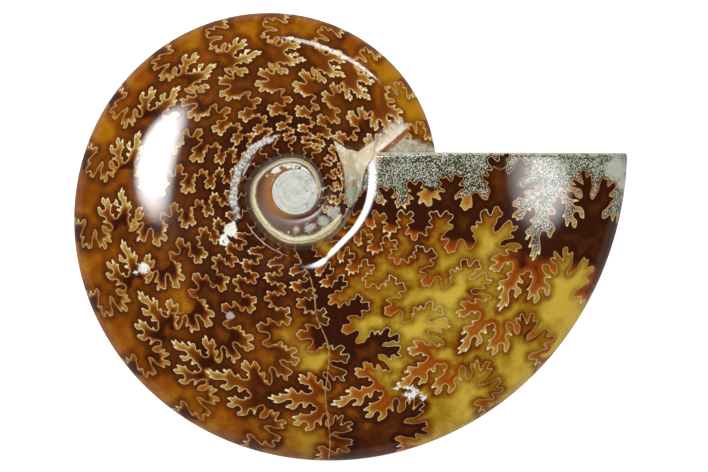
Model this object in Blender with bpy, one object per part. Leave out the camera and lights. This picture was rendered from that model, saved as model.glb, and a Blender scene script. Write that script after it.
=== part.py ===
"""A polished cleoniceras ammonite: one solid fossil lying on its flank.

The shell is one cross-section carried round a logarithmic spiral. The turns
overlap and are fused, the middle is closed by a low round plug, and the last
turn ends in a flat ground cut. All sizes are in metres and +Z is up.
"""

import math

import bmesh
import bpy
from mathutils import Matrix

# Size of the spiral. Angles of coiling are in degrees, and 360 is on the +X side,
# where the last turn ends.
LAST_RADIUS = 0.0665
GROWTH_PER_RADIAN = 0.1349
START_ANGLE = -372.0
END_ANGLE = 408.0
ANGLE_STEP = 6.0

# Cross-section of a turn, in parts of the outer radius at that place
HALF_THICKNESS = 0.20
WIDEST_AT = 0.40
FLANK_POWERS = (2.2, 1.9)
SHOULDER_POWERS = (3.0, 1.5)
SEAM_AT = 0.205
LEDGE_HEIGHT = 0.090
LEDGE_INNER = 0.178
INNER_WALL_AT = 0.168
INNER_WALL_HEIGHT = 0.080
FLANK_STEPS = 9
SHOULDER_STEPS = 6

# The ground cut that ends the last turn: a plane across the shell
CUT_OFFSET = 0.0074
CUT_FROM_ANGLE = 318.0

# The plug in the middle of the coil
PLUG_RADIUS = 0.0051
PLUG_HALF_HEIGHT = 0.0031
PLUG_CHAMFER = 0.0004
PLUG_SIDES = 36

# Crust left on the turn before, beside the end of the last turn. Each lump has its
# centre, its radii and its turn about the coil axis in degrees.
CRUST_LUMPS = (
    ((0.0130, 0.0012, 0.0048), (0.0028, 0.0062, 0.0022), 4.0),
    ((0.0125, 0.0066, 0.0046), (0.0048, 0.0030, 0.0022), -18.0),
    ((0.0180, 0.0090, 0.0040), (0.0068, 0.0030, 0.0022), 41.0),
)

# How the shell lies: it leans about a line in the coil plane, towards its thin side,
# and its lower flank is ground to small flats where it meets the floor.
LEAN = 4.36
LEAN_LINE_ANGLE = -49.0
GRIND_DEPTH = 0.00015
GRINDER_SIZE = 0.3

SHELL_COLOUR = (0.30, 0.13, 0.03, 1.0)
SHELL_ROUGHNESS = 0.12


def outer_radius(angle):
    """Distance from the coil axis to the outer edge at an angle of coiling."""
    return LAST_RADIUS * math.exp(GROWTH_PER_RADIAN * math.radians(angle - 360.0))


def superellipse(steps, powers):
    """Points of a quarter superellipse, from (1, 0) up to (0, 1)."""
    points = []
    for k in range(steps + 1):
        turn = math.pi / 2 * k / steps
        along = abs(math.cos(turn)) ** (2.0 / powers[0])
        across = abs(math.sin(turn)) ** (2.0 / powers[1])
        points.append((along, across))
    return points


def section_outline():
    """Closed outline (distance from the axis, height) of a turn of outer radius 1."""
    upper = []
    for along, across in superellipse(FLANK_STEPS, FLANK_POWERS):
        upper.append((WIDEST_AT + (1.0 - WIDEST_AT) * along, HALF_THICKNESS * across))
    shoulder = superellipse(SHOULDER_STEPS, SHOULDER_POWERS)
    for along, across in reversed(shoulder[:-1]):
        distance = WIDEST_AT - (WIDEST_AT - SEAM_AT) * along
        upper.append((distance, LEDGE_HEIGHT + (HALF_THICKNESS - LEDGE_HEIGHT) * across))
    upper.append((LEDGE_INNER, LEDGE_HEIGHT))
    upper.append((INNER_WALL_AT, INNER_WALL_HEIGHT))
    lower = [(distance, -height) for distance, height in reversed(upper[1:])]
    return upper + lower


def sweep_coil(bm):
    """Carry the outline round the spiral, and return the vertices of its last part."""
    start = outer_radius(START_ANGLE)
    ring = [bm.verts.new((start * distance, 0.0, start * height))
            for distance, height in section_outline()]
    edges = bm.faces.new(ring).edges[:]
    bmesh.ops.rotate(bm, verts=ring, cent=(0.0, 0.0, 0.0),
                     matrix=Matrix.Rotation(math.radians(START_ANGLE), 3, 'Z'))
    turn = Matrix.Rotation(math.radians(ANGLE_STEP), 3, 'Z')
    growth = math.exp(GROWTH_PER_RADIAN * math.radians(ANGLE_STEP))
    last_part = []
    for step in range(1, round((END_ANGLE - START_ANGLE) / ANGLE_STEP) + 1):
        made = bmesh.ops.extrude_edge_only(bm, edges=edges)["geom"]
        ring = [item for item in made if isinstance(item, bmesh.types.BMVert)]
        edges = [item for item in made if isinstance(item, bmesh.types.BMEdge)
                 and item.is_boundary]
        bmesh.ops.rotate(bm, verts=ring, cent=(0.0, 0.0, 0.0), matrix=turn)
        bmesh.ops.scale(bm, verts=ring, vec=(growth, growth, growth))
        if START_ANGLE + ANGLE_STEP * step > CUT_FROM_ANGLE:
            last_part.extend(ring)
    return last_part


def coil_mesh():
    """The swept shell with its last turn cut off flat, as one closed skin."""
    bm = bmesh.new()
    last_part = sweep_coil(bm)
    edges = {edge for vert in last_part for edge in vert.link_edges}
    faces = {face for vert in last_part for face in vert.link_faces}
    bmesh.ops.bisect_plane(bm, geom=last_part + list(edges) + list(faces),
                           plane_co=(0.0, CUT_OFFSET, 0.0), plane_no=(0.0, 1.0, 0.0),
                           clear_outer=True)
    rim = [edge for edge in bm.edges if edge.is_boundary]
    bmesh.ops.holes_fill(bm, edges=rim)
    bmesh.ops.recalc_face_normals(bm, faces=bm.faces[:])
    mesh = bpy.data.meshes.new("coil")
    bm.to_mesh(mesh)
    bm.free()
    return mesh


def new_object(name, mesh, collection):
    shape = bpy.data.objects.new(name, mesh)
    collection.objects.link(shape)
    return shape


def new_helper(name, mesh, collection):
    """An object that only shapes the shell."""
    shape = new_object(name, mesh, collection)
    shape.hide_render = True
    shape.display_type = 'WIRE'
    return shape


def add_plug(bm):
    """A low round plug with broken edges, through the middle of the coil."""
    made = bmesh.ops.create_cone(bm, cap_ends=True, segments=PLUG_SIDES,
                                 radius1=PLUG_RADIUS, radius2=PLUG_RADIUS,
                                 depth=2.0 * PLUG_HALF_HEIGHT)
    edges = {edge for vert in made["verts"] for edge in vert.link_edges}
    rims = [edge for edge in edges
            if abs(edge.verts[0].co.z - edge.verts[1].co.z) < PLUG_CHAMFER]
    bmesh.ops.bevel(bm, geom=rims, offset=PLUG_CHAMFER, segments=1, profile=0.5,
                    affect='EDGES', material=-1)


def add_lump(bm, centre, radii, turn):
    """A rounded lump of crust."""
    verts = bmesh.ops.create_uvsphere(bm, u_segments=16, v_segments=8, radius=1.0)["verts"]
    bmesh.ops.scale(bm, verts=verts, vec=radii)
    bmesh.ops.rotate(bm, verts=verts, cent=(0.0, 0.0, 0.0),
                     matrix=Matrix.Rotation(math.radians(turn), 3, 'Z'))
    bmesh.ops.translate(bm, verts=verts, vec=centre)


def filling_mesh():
    """What fills the coil: its middle plug and the lumps of crust."""
    bm = bmesh.new()
    add_plug(bm)
    for centre, radii, turn in CRUST_LUMPS:
        add_lump(bm, centre, radii, turn)
    mesh = bpy.data.meshes.new("filling")
    bm.to_mesh(mesh)
    bm.free()
    return mesh


def grinder_mesh():
    """A block whose top is the floor that the shell is ground flat against."""
    bm = bmesh.new()
    bmesh.ops.create_cube(bm, size=GRINDER_SIZE)
    bmesh.ops.translate(bm, verts=bm.verts[:], vec=(0.0, 0.0, -GRINDER_SIZE / 2))
    mesh = bpy.data.meshes.new("grinder")
    bm.to_mesh(mesh)
    bm.free()
    return mesh


def resting_place(mesh):
    """The coil's place on the floor, centred over the origin and leaning."""
    line = math.radians(LEAN_LINE_ANGLE)
    lean = Matrix.Rotation(math.radians(LEAN), 4, (math.cos(line), math.sin(line), 0.0))
    reach = [lean @ vert.co for vert in mesh.vertices]
    middle_x = (min(point.x for point in reach) + max(point.x for point in reach)) / 2
    middle_y = (min(point.y for point in reach) + max(point.y for point in reach)) / 2
    lowest = min(point.z for point in reach)
    return Matrix.Translation((-middle_x, -middle_y, -lowest - GRIND_DEPTH)) @ lean


def add_boolean(shape, helper, operation):
    fuse = shape.modifiers.new(helper.name, 'BOOLEAN')
    fuse.operation = operation
    fuse.solver = 'EXACT'
    fuse.use_self = operation == 'UNION'
    fuse.object = helper


def shell_material():
    material = bpy.data.materials.new("polished shell")
    material.use_nodes = True
    shader = material.node_tree.nodes["Principled BSDF"]
    shader.inputs["Base Color"].default_value = SHELL_COLOUR
    shader.inputs["Roughness"].default_value = SHELL_ROUGHNESS
    shader.inputs["Metallic"].default_value = 0.0
    return material


def main():
    for shape in list(bpy.data.objects):
        bpy.data.objects.remove(shape, do_unlink=True)
    fossil = bpy.data.collections.new("cleoniceras ammonite")
    helpers = bpy.data.collections.new("helpers")
    for collection in (fossil, helpers):
        bpy.context.scene.collection.children.link(collection)

    ammonite = new_object("ammonite", coil_mesh(), fossil)
    place = resting_place(ammonite.data)
    ammonite.matrix_world = place
    ammonite.data.materials.append(shell_material())

    filling = new_helper("filling", filling_mesh(), helpers)
    filling.matrix_world = place
    add_boolean(ammonite, filling, 'UNION')
    grinder = new_helper("grinder", grinder_mesh(), helpers)
    add_boolean(ammonite, grinder, 'DIFFERENCE')

    ammonite.data.shade_smooth()
    ammonite.data.set_sharp_from_angle(angle=math.radians(35.0))


main()
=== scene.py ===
"""A polished cleoniceras ammonite lying on a pale floor, seen from above.

The shell is one closed skin. It is unrolled to a flat sheet, with the angle of coiling
across and the way over the flank up, and there the suture lines are laid out as folded
curves. The sheet is cut into triangles along those curves, so that the colours change
exactly on them, and is then rolled up on the spiral. Sizes are in metres, +Z is up.
"""

import math

import bmesh
import bpy
import numpy as np
from bpy.props import FloatProperty, FloatVectorProperty, PointerProperty
from mathutils import Matrix, Vector
from mathutils.geometry import delaunay_2d_cdt
from mathutils.kdtree import KDTree


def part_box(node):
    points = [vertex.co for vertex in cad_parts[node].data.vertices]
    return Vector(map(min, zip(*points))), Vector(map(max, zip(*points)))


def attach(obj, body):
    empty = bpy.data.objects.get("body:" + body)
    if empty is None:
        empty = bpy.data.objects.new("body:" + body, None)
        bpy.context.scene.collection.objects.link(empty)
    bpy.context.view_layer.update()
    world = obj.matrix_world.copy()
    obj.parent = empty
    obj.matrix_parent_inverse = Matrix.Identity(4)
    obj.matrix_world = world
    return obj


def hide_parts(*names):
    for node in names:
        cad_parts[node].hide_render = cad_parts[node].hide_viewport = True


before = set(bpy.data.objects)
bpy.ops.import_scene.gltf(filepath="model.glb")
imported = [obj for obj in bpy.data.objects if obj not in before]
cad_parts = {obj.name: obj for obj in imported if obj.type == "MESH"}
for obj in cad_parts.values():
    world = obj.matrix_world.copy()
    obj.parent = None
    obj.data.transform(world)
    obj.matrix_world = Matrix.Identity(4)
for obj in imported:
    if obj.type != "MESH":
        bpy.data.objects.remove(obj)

bl_info = {
    "name": "Polished ammonite",
    "version": (1, 0, 0),
    "blender": (4, 5, 0),
    "location": "3D View > Sidebar > Ammonite",
    "description": "A polished cleoniceras ammonite with its suture lines, and its studio",
    "category": "Object",
}

MM = 0.001
TURN = 2.0 * math.pi

# The spiral and the cross-section of a turn, as in the CAD. Angles of coiling are in
# degrees, and 360 is on the +X side, where the last turn ends. The section is in parts
# of the outer radius.
LAST_RADIUS = 66.5 * MM
GROWTH_PER_RADIAN = 0.1349
START_ANGLE = -290.0
HALF_THICKNESS = 0.20
WIDEST_AT = 0.40
FLANK_POWERS = (2.2, 1.9)
SHOULDER_POWERS = (7.0, 1.8)
SEAM_AT = 0.190
LEDGE_HEIGHT = 0.090
LEDGE_RISE = 0.006
LEDGE_INNER = 0.162
INNER_WALL_AT = 0.152
INNER_WALL_HEIGHT = 0.080

# The ground cut that ends the last turn, its broken edge, the last angle that it can
# reach and the steps of its search, and how near it the triangles are small
CUT_OFFSET = 7.4 * MM
RIM_WIDTH = 0.9 * MM
RIM_DROP = 0.30 * MM
LAST_ANGLE = 405.0
CUT_STEPS = 14
NEAR_CUT = 2.0 * MM

# The plug in the middle of the coil
PLUG_RADIUS = 4.85 * MM
PLUG_HALF_HEIGHT = 3.1 * MM
PLUG_EDGE = 0.5 * MM
PLUG_SIDES = 96
PLUG_EDGE_STEPS = 4
PLUG_MIDDLE = (0.3 * MM, -0.5 * MM, 0.0)

# How the shell lies: it leans about a line in the coil plane, and its lower flank is
# ground to small flats where it meets the floor.
LEAN = math.radians(4.36)
LEAN_LINE = math.radians(-49.0)
GRIND_DEPTH = 0.15 * MM

# Distance between sutures at which the drawn one has its own width
DRAWN_SPACING = 17.9
# The middle line of a suture: degrees back from its tip, and their growth inwards
MIDLINE_BACK = 8.0
MIDLINE_SLOPE = 0.05

# One suture as it runs over the flank, from the middle of the outer edge in to the
# navel. Each point has the degrees back from the tip of the first lateral saddle, and
# the depth from the outer edge as DEPTH_SCALE times the logarithm of radius over distance.
# Lobes point back and saddles reach forward. Below EDGE_DEPTH the depth counts on
# towards the middle of the outer edge, which is at VENTER_DEPTH.
DEPTH_SCALE = 100.0
VENTER_DEPTH = -4.5
EDGE_DEPTH = 3.0
VENTRAL_LOBE = (
    (10.3, -4.5), (11.5, -3.8), (12.1, -2.4), (13.8, -2.8), (15.1, -2.0), (14.3, -0.8), (13.3, 0.0),
    (13.8, 1.0), (14.7, 1.6),
)
EXTERNAL_SADDLE = (
    (13.6, 2.6), (13.2, 3.1), (14.0, 4.7), (13.9, 5.6), (12.7, 5.8), (12.2, 5.1), (11.5, 4.3),
    (10.7, 3.7), (10.0, 2.7), (9.5, 4.8), (8.6, 3.9), (7.8, 3.0), (6.9, 3.7), (7.7, 5.6), (6.6, 5.8),
    (6.0, 6.1), (6.3, 6.8), (5.8, 7.6), (7.1, 8.4), (8.5, 8.6), (9.4, 9.3), (10.5, 10.2), (9.4, 11.3),
    (8.0, 10.9), (6.4, 11.4), (5.2, 11.9), (6.1, 13.2), (4.5, 14.0), (4.9, 15.4), (6.0, 15.1),
    (6.6, 14.6), (7.6, 14.1), (7.1, 15.4), (6.4, 17.2), (6.1, 18.3), (6.8, 18.2), (7.6, 17.0),
    (7.9, 16.6), (7.7, 17.8), (8.0, 18.6), (8.5, 17.8), (8.8, 16.6), (9.2, 15.1), (10.3, 14.0),
    (11.2, 13.9), (11.0, 15.8), (10.0, 17.4), (9.9, 18.8), (10.3, 19.7), (11.5, 18.6), (12.0, 17.2),
    (12.3, 14.9), (12.6, 14.6), (12.9, 16.2), (13.6, 16.3), (14.1, 15.2), (14.3, 13.6),
)
FIRST_LOBE_OUTER_BRANCH = (
    (15.1, 12.5), (16.0, 12.0), (16.8, 11.8), (16.7, 13.0), (15.9, 13.8), (15.8, 15.0), (16.3, 15.8),
    (17.2, 15.5), (18.2, 13.8), (19.7, 13.8), (19.4, 14.9), (18.3, 15.7), (18.7, 16.4), (19.8, 16.7),
    (19.5, 17.3), (18.6, 17.8), (17.7, 18.5), (17.8, 19.4), (16.7, 18.8), (15.1, 19.0),
)
FIRST_LOBE_SMALL_SADDLE = (
    (14.5, 19.7), (14.8, 20.6), (13.8, 20.6), (13.2, 21.8), (13.4, 23.0), (14.3, 23.2), (14.6, 24.2),
    (15.5, 24.1), (16.1, 22.6), (16.7, 21.8), (17.1, 22.7), (16.9, 24.0),
)
FIRST_LOBE_INNER_BRANCH = (
    (18.2, 23.6), (18.8, 21.6), (19.9, 20.0), (20.7, 20.5), (21.8, 20.5), (21.3, 21.6), (20.3, 22.2),
    (20.1, 23.6), (20.4, 24.3), (21.8, 24.1), (22.9, 23.0), (24.2, 22.0), (25.6, 21.7), (24.9, 22.7),
    (26.3, 22.7), (27.4, 23.2), (26.0, 23.9), (26.5, 25.0), (25.0, 24.9), (23.8, 25.5), (24.4, 26.6),
    (22.6, 26.5), (21.6, 26.8), (21.1, 27.4), (21.5, 28.0), (22.5, 28.3), (22.3, 29.3), (21.4, 28.9),
    (20.7, 30.2),
)
LATERAL_SADDLE_SHOULDER = (
    (19.9, 29.7), (18.9, 28.2), (18.2, 28.2), (17.7, 29.8), (17.1, 29.1), (16.5, 28.3), (15.4, 28.4),
    (14.3, 29.4), (14.2, 30.2), (14.6, 31.0), (15.4, 31.0), (14.9, 32.2), (15.4, 33.1), (16.5, 33.0),
    (16.7, 33.5), (17.9, 33.5), (18.0, 34.6), (18.6, 35.7), (17.8, 36.6), (18.3, 38.0), (17.5, 38.3),
    (16.6, 37.5), (15.5, 36.0), (15.3, 37.6), (15.3, 39.6), (14.7, 39.7), (14.0, 39.4), (13.8, 38.4),
    (12.8, 37.7), (13.0, 35.6), (12.6, 34.5), (12.2, 34.0), (11.7, 35.4), (11.3, 35.9), (10.9, 34.7),
    (10.9, 32.0), (10.6, 30.8), (10.0, 32.1), (9.7, 30.8), (9.2, 30.0), (8.6, 31.6), (8.8, 34.0),
    (9.4, 36.2), (10.3, 37.2), (10.2, 39.7), (9.4, 39.6), (8.5, 38.9), (8.0, 37.2), (7.4, 35.4),
    (7.0, 35.4), (6.7, 37.0), (5.7, 36.9), (5.4, 35.4), (4.5, 34.5), (4.0, 34.9), (4.5, 36.8),
    (3.6, 37.5), (2.9, 38.7), (2.8, 39.4),
)
LATERAL_SADDLE = (
    (3.3, 40.1), (4.2, 41.0), (5.4, 42.0), (6.4, 42.9), (6.8, 43.8), (7.3, 44.5), (6.6, 45.4),
    (5.6, 45.8), (4.6, 45.0), (3.0, 45.2), (2.5, 43.8), (1.4, 43.8), (1.1, 45.1), (0.1, 46.4),
    (0.0, 47.4), (0.3, 48.3), (1.7, 48.6), (2.7, 48.7), (2.9, 49.4), (2.3, 50.5), (1.0, 52.0),
    (1.2, 53.2), (1.7, 54.3), (3.0, 54.0), (4.1, 52.9), (5.1, 52.0), (5.3, 53.0), (4.9, 54.4),
    (5.5, 54.8), (6.7, 53.4), (6.9, 54.0), (6.6, 55.7), (7.2, 56.6), (8.1, 55.6), (8.9, 53.2),
    (9.2, 53.1), (9.7, 53.8), (10.7, 51.8),
)
SECOND_LOBE = (
    (11.7, 51.0), (12.7, 51.3), (14.0, 51.4), (14.3, 52.4), (13.8, 54.0), (12.5, 55.8), (11.8, 57.2),
    (11.8, 58.8), (12.6, 59.8), (13.9, 59.4), (14.9, 59.1), (16.7, 58.6), (17.0, 59.8), (18.2, 61.8),
    (17.0, 64.0), (16.8, 65.4), (15.4, 65.1), (14.1, 64.8), (13.3, 65.6), (13.6, 67.8), (14.3, 69.4),
    (12.9, 70.2), (11.7, 69.3), (10.8, 68.9), (9.9, 68.0),
)
SECOND_SADDLE = (
    (9.5, 66.6), (8.5, 66.6), (7.9, 67.4), (7.8, 69.2), (7.6, 70.8), (6.5, 70.0), (5.7, 68.8),
    (4.8, 68.6), (4.0, 69.4), (3.9, 71.4), (2.8, 73.2), (3.4, 74.5), (4.8, 75.2), (5.6, 75.8),
    (5.3, 76.8), (3.4, 78.8), (4.1, 80.0), (3.9, 81.6), (4.2, 82.5), (4.9, 82.8), (5.7, 81.7),
    (6.8, 80.3), (7.9, 81.4), (8.8, 80.2), (9.4, 78.0), (10.3, 77.4), (10.5, 78.8), (10.1, 79.9),
    (10.8, 80.4), (11.8, 80.1),
)
THIRD_LOBE = (
    (13.1, 78.3), (14.3, 77.9), (13.8, 80.4), (13.6, 82.0), (14.1, 83.4), (15.4, 82.6), (17.0, 82.2),
    (17.9, 83.5), (17.6, 85.5), (16.4, 86.7), (15.8, 87.4), (16.1, 88.6), (17.4, 90.0), (16.8, 91.4),
    (15.4, 91.4), (13.7, 91.0), (13.1, 93.7),
)
THIRD_SADDLE = (
    (12.2, 93.2), (11.5, 91.6), (10.4, 90.2), (9.9, 92.0), (9.9, 93.8), (8.5, 92.9), (7.3, 93.0),
    (6.3, 95.2), (6.8, 96.6), (8.5, 98.0), (8.0, 99.5), (6.7, 101.3), (6.1, 102.6), (7.7, 104.2),
    (9.6, 104.3), (10.8, 102.8), (11.7, 100.5), (12.3, 102.7), (13.1, 103.5),
)
FOURTH_LOBE = (
    (13.8, 101.9), (14.7, 99.9), (15.9, 98.2), (16.2, 100.0), (17.0, 101.3), (18.6, 99.8), (19.1, 101.2),
    (18.8, 102.9), (20.4, 102.5), (22.0, 101.8), (20.9, 103.6), (20.0, 105.1), (20.2, 106.6),
    (21.8, 108.0), (19.9, 109.2), (18.3, 110.8), (17.1, 109.3), (15.8, 108.9), (15.4, 110.6),
    (16.4, 112.8), (15.8, 114.1), (15.0, 113.5),
)
FOURTH_SADDLE = (
    (14.2, 112.3), (12.1, 111.6), (10.8, 113.2), (9.6, 115.2), (10.8, 116.9), (12.7, 118.2),
    (11.7, 119.6), (10.3, 122.0), (9.5, 124.1), (10.4, 126.0), (12.2, 126.2), (13.6, 124.0),
    (15.1, 123.5), (16.5, 120.7), (17.4, 121.7),
)
FIFTH_LOBE = (
    (18.3, 119.6), (19.8, 116.2), (20.0, 118.8), (21.1, 118.0), (22.7, 118.4), (21.5, 120.8),
    (22.0, 124.0), (20.4, 126.8), (18.6, 128.4), (18.5, 131.6), (17.6, 133.4), (16.4, 133.0),
)
NAVEL_WALL = (
    (14.7, 134.0), (13.1, 136.8), (12.7, 140.0), (13.8, 142.4), (16.3, 143.6), (18.8, 145.6),
    (16.3, 148.8), (15.4, 152.0), (17.4, 154.8), (19.3, 156.8), (17.6, 159.2), (17.2, 163.2),
    (17.6, 176.0),
)
WHOLE_SUTURE = (VENTRAL_LOBE + EXTERNAL_SADDLE + FIRST_LOBE_OUTER_BRANCH
                + FIRST_LOBE_SMALL_SADDLE + FIRST_LOBE_INNER_BRANCH
                + LATERAL_SADDLE_SHOULDER + LATERAL_SADDLE + SECOND_LOBE
                + SECOND_SADDLE + THIRD_LOBE + THIRD_SADDLE + FOURTH_LOBE
                + FOURTH_SADDLE + FIFTH_LOBE + NAVEL_WALL)

# Points of the drawn suture at which the real ones are shifted from it: the ends of
# its external saddle, small saddle, first lobe, the corner and tip of the first lateral
# saddle, second lobe, second lateral saddle, third lobe and third saddle
MARKS = ((4.5, 14.0), (13.2, 21.8), (27.4, 23.2), (2.8, 39.4), (0.0, 47.4), (18.2, 61.8),
         (2.8, 73.2), (17.9, 83.5), (6.1, 102.6))

# How the real sutures differ from the drawn one. For each: degrees of coiling at the tip
# of its first lateral saddle; then, at each of MARKS, how much further back it is in
# degrees, and how much deeper.
SUTURES = (
    (371.5, (3.7, 0.7, 2.7, 1, 1, 1.5, 3.4, 2, 1.5), (0, 0, 2, 0, 0, 2, -1, 2, -2)),
    (354.6, (2.3, 1, -1, 0, -0.5, -0.2, -0.5, 0.3, -0.8), (0, 2.5, 3, 1, 0.5, 2, 0.8, 3, 0.5)),
    (339.0, (2.3, 1.3, 0, -0.4, 0, -0.4, -0.5, -1, -0.5), (0, 2, 2.5, 2, 0, 2, 0, 3, 2)),
    (323.0, (0, 0.3, 1.5, 0.3, 1, 0.2, 0.6, -0.3, 0.5), (0, 2.5, 2, 2.5, 0.5, 2.5, 0.5, 3.5, 1.7)),
    (306.0, (0.2, -0.6, 0, -1, -0.2, -0.4, -0.6, 1.5, -1), (0, 3, 0.4, 4, 2, 2, 3, 3, 3.4)),
    (289.0, (0.2, 0, -0.2, 0, 0, 0.2, 0.2, 0.4, 0), (0, 0, 0.5, 0, 0.4, 1, 0.4, 1.7, 0)),
    (272.4, (0, 1.5, 2.7, 0, 0, 0.5, 0, 0.7, 0.5), (0, 0, 0.2, 0, -0.6, 0, 0, 0.8, 0.4)),
    (255.4, (0.2, 0, -1.7, 0, -0.6, -0.2, -0.2, 2, 0.7), (0, 0, 1, 0, 0, 0, -0.4, -0.4, -1.2)),
    (238.8, (0, 0.5, 0.3, 0, -0.6, 2, -0.2, 2, 0.2), (0, 0.5, 1.2, 0, -0.4, -0.4, 0, -1, -1.6)),
    (220.8, (0, -0.4, -3, 0, 0, -0.3, -0.9, 0.7, -1.5), (0, 0, 1.2, 0, 0, 0, -2, -1, -2.5)),
    (202.6, (0.3, 0, -4.5, 0.3, -0.2, -2, -0.4, -1.4, -1.5), (0, 0, 1.2, -1.6, -1.2, 0, -2.5, -1, -2.5)),
    (183.6, (1, -1.2, -4, 0, 0, -2.8, -1.7, -2.3, -2.7), (0, 0, 0.5, 0, 0, -0.4, -1.4, -1.8, -2)),
    (164.6, (0, 0, -1.7, 0, 0, -0.7, -3, -2.6, -2.6), (0, -0.4, 2, 0, 0, -0.8, -2.5, -2, -2)),
    (145.6, (0.1, -0.7, -4.4, -0.3, 0.2, -1.3, -1.4, -1.8, -3.3),
     (0, -1.2, 2.2, -2.5, -0.8, 1.2, -2, -1.8, -2)),
    (127.8, (2.5, 0.6, -2, 0.1, 0, 0.3, -1.6, 0.6, -2.8), (0, 1.8, 1.8, 0, 1.5, 4, 2, 2.5, 2.5)),
    (109.0, (2.6, 1.1, -3.7, -0.6, -0.9, -0.3, -1.8, 0.2, -2.7), (0, 3.5, 5.6, 2.5, 3.4, 5.8, 4.4, 5.5, 5)),
    (89.6, (2, 0.7, -5, -0.5, -0.7, -1.8, -2.2, -1.3, -3), (0, 2.6, 5.3, 2.1, 4.4, 6.2, 4.4, 4.5, 4)),
    (73.8, (4.6, 2.9, 0.7, 0.7, 0.5, 2.8, -0.2, 4.5, 1), (0, 4.2, 6.4, 3, 4.8, 6.3, 4.5, 5, 5)),
    (55.2, (2.5, 3, 0.7, 0.7, 0.5, -1.2, -1.1, -1, -1), (0, 3.5, 5, 4.4, 5.2, 4.4, 7, 5, 5)),
    (37.0, (2.2, 0.5, 0, 0, 0, 0, 0, 0, 0), (0, 3, 4, 4, 4, 4, 5, 5, 5)),
    (19.5, (1, 0, -1, 0, 0, -1, -1, 0, -1), (0, 3, 4, 4, 4, 4, 5, 5, 5)),
    (2.0, (1, 0, -1, 0, 0, 0, 0, 0, 0), (0, 3, 4, 4, 4, 4, 5, 5, 5)),
    (-15.0, (1, 0, -1, 0, 0, 0, 0, 0, 0), (0, 3, 4, 4, 4, 4, 5, 5, 5)),
)

# Sizes of the triangles: along the sutures, beside them, far from them, and where
# later turns cover the shell
UPPER_STEPS = (0.21 * MM, 0.36 * MM, 1.1 * MM)
LOWER_STEPS = (0.50 * MM, 0.70 * MM, 2.0 * MM)
COVERED_STEP = 6.0 * MM
BESIDE_SUTURES = 1.0 * MM
COVERED_BEYOND = 0.47
COVERED_BEFORE = math.radians(2.0)
FAR_FROM_LINES = 9.0
SMOOTHING = 8
FIRST_SPACING = 16.5
# Steps of the section: over the flank, the shoulder and the ledge
SECTION_STEPS = (900, 500, 60)
LEDGE_POWER = 0.6
# How far points stay from the lines and the sheet's edge, in steps, and the lines' ends
# from the edge; how much narrower the fine strip is on the lower flank; how high a row is
CLEAR_OF_LINES = 0.42
CLEAR_OF_EDGE = 0.4
LINE_TO_EDGE = 0.15 * MM
LOWER_STRIP = 0.8
ROW_HEIGHT = 0.866
ROW_SHIFTS = (0.75, 0.25)
# Points of one path lie nearer to each other on the sheet than the square root of this
SAME_PATH = 0.01
# How far off a path's angles of coiling, in radians, a place can still be near it
PATH_MARGIN = 0.1
MERGED_WITHIN = 1e-7
# Waves that make the sutures differ: how many on the way in, and how high in degrees
WAVES = (3.7, 6.1, 11.0)
WAVE_HEIGHT = 0.12
# Steps along the sheet's edges and along its creases, and the rows of points: how long
# a block of them is, in degrees
EDGE_STEPS = (0.45 * MM, 0.8 * MM)
START_STEPS = 80
CREASE_STEP = 0.5 * MM
BLOCK = 10.0


def outer_radius(angle):
    """Distance from the coil axis to the outer edge, at an angle of coiling in radians."""
    return LAST_RADIUS * np.exp(GROWTH_PER_RADIAN * (angle - TURN))


def superellipse(steps, powers):
    """A quarter superellipse from (1, 0) up to (0, 1), as two arrays."""
    turn = np.linspace(0.0, math.pi / 2, steps)
    return (np.abs(np.cos(turn)) ** (2.0 / powers[0]),
            np.abs(np.sin(turn)) ** (2.0 / powers[1]))


def smooth_step(value, low, high):
    part = np.clip((value - low) / (high - low), 0.0, 1.0)
    return part * part * (3.0 - 2.0 * part)


def eased(at, marks, values):
    """Between values at the marks, with level stretches round each mark."""
    marks, values = np.array(marks, float), np.array(values, float)
    before = np.clip(np.searchsorted(marks, at, side='right') - 1, 0, len(marks) - 2)
    part = smooth_step(at, marks[before], marks[before + 1])
    return values[before] + (values[before + 1] - values[before]) * part


class Section:
    """Half of a turn's cross-section, from the middle of the outer edge to the navel.

    The way round it is measured so that a small square on the unrolled sheet is a
    square on the shell too: each step is divided by its distance from the axis.
    """

    def __init__(self):
        along, across = superellipse(SECTION_STEPS[0], FLANK_POWERS)
        distance = WIDEST_AT + (1.0 - WIDEST_AT) * along
        height = HALF_THICKNESS * across
        along, across = superellipse(SECTION_STEPS[1], SHOULDER_POWERS)
        along, across = along[::-1], across[::-1]
        distance = np.append(distance, WIDEST_AT - (WIDEST_AT - SEAM_AT) * along[1:])
        height = np.append(height, LEDGE_HEIGHT
                           + (HALF_THICKNESS - LEDGE_HEIGHT) * across[1:])
        ledge = np.linspace(0.0, 1.0, SECTION_STEPS[2])[1:]
        distance = np.append(distance, SEAM_AT + (LEDGE_INNER - SEAM_AT) * ledge)
        height = np.append(height, LEDGE_HEIGHT
                           + LEDGE_RISE * np.sin(math.pi * ledge) ** LEDGE_POWER)
        distance = np.append(distance, INNER_WALL_AT)
        height = np.append(height, INNER_WALL_HEIGHT)
        step = np.hypot(np.diff(distance), np.diff(height))
        middle = (distance[1:] + distance[:-1]) / 2
        self.distance = distance
        self.height = height
        self.around = np.append(0.0, np.cumsum(step / middle))
        self.end = self.around[-1]

    def distance_at(self, around):
        return np.interp(np.abs(around), self.around, self.distance)

    def height_at(self, around):
        return np.interp(np.abs(around), self.around, self.height) * np.sign(around)

    def around_at(self, distance):
        return np.interp(-distance, -self.distance, self.around)


SECTION = Section()


def scale_at(angle, around):
    """Metres on the shell for one unit on the unrolled sheet."""
    return outer_radius(angle) * SECTION.distance_at(around)


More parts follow.
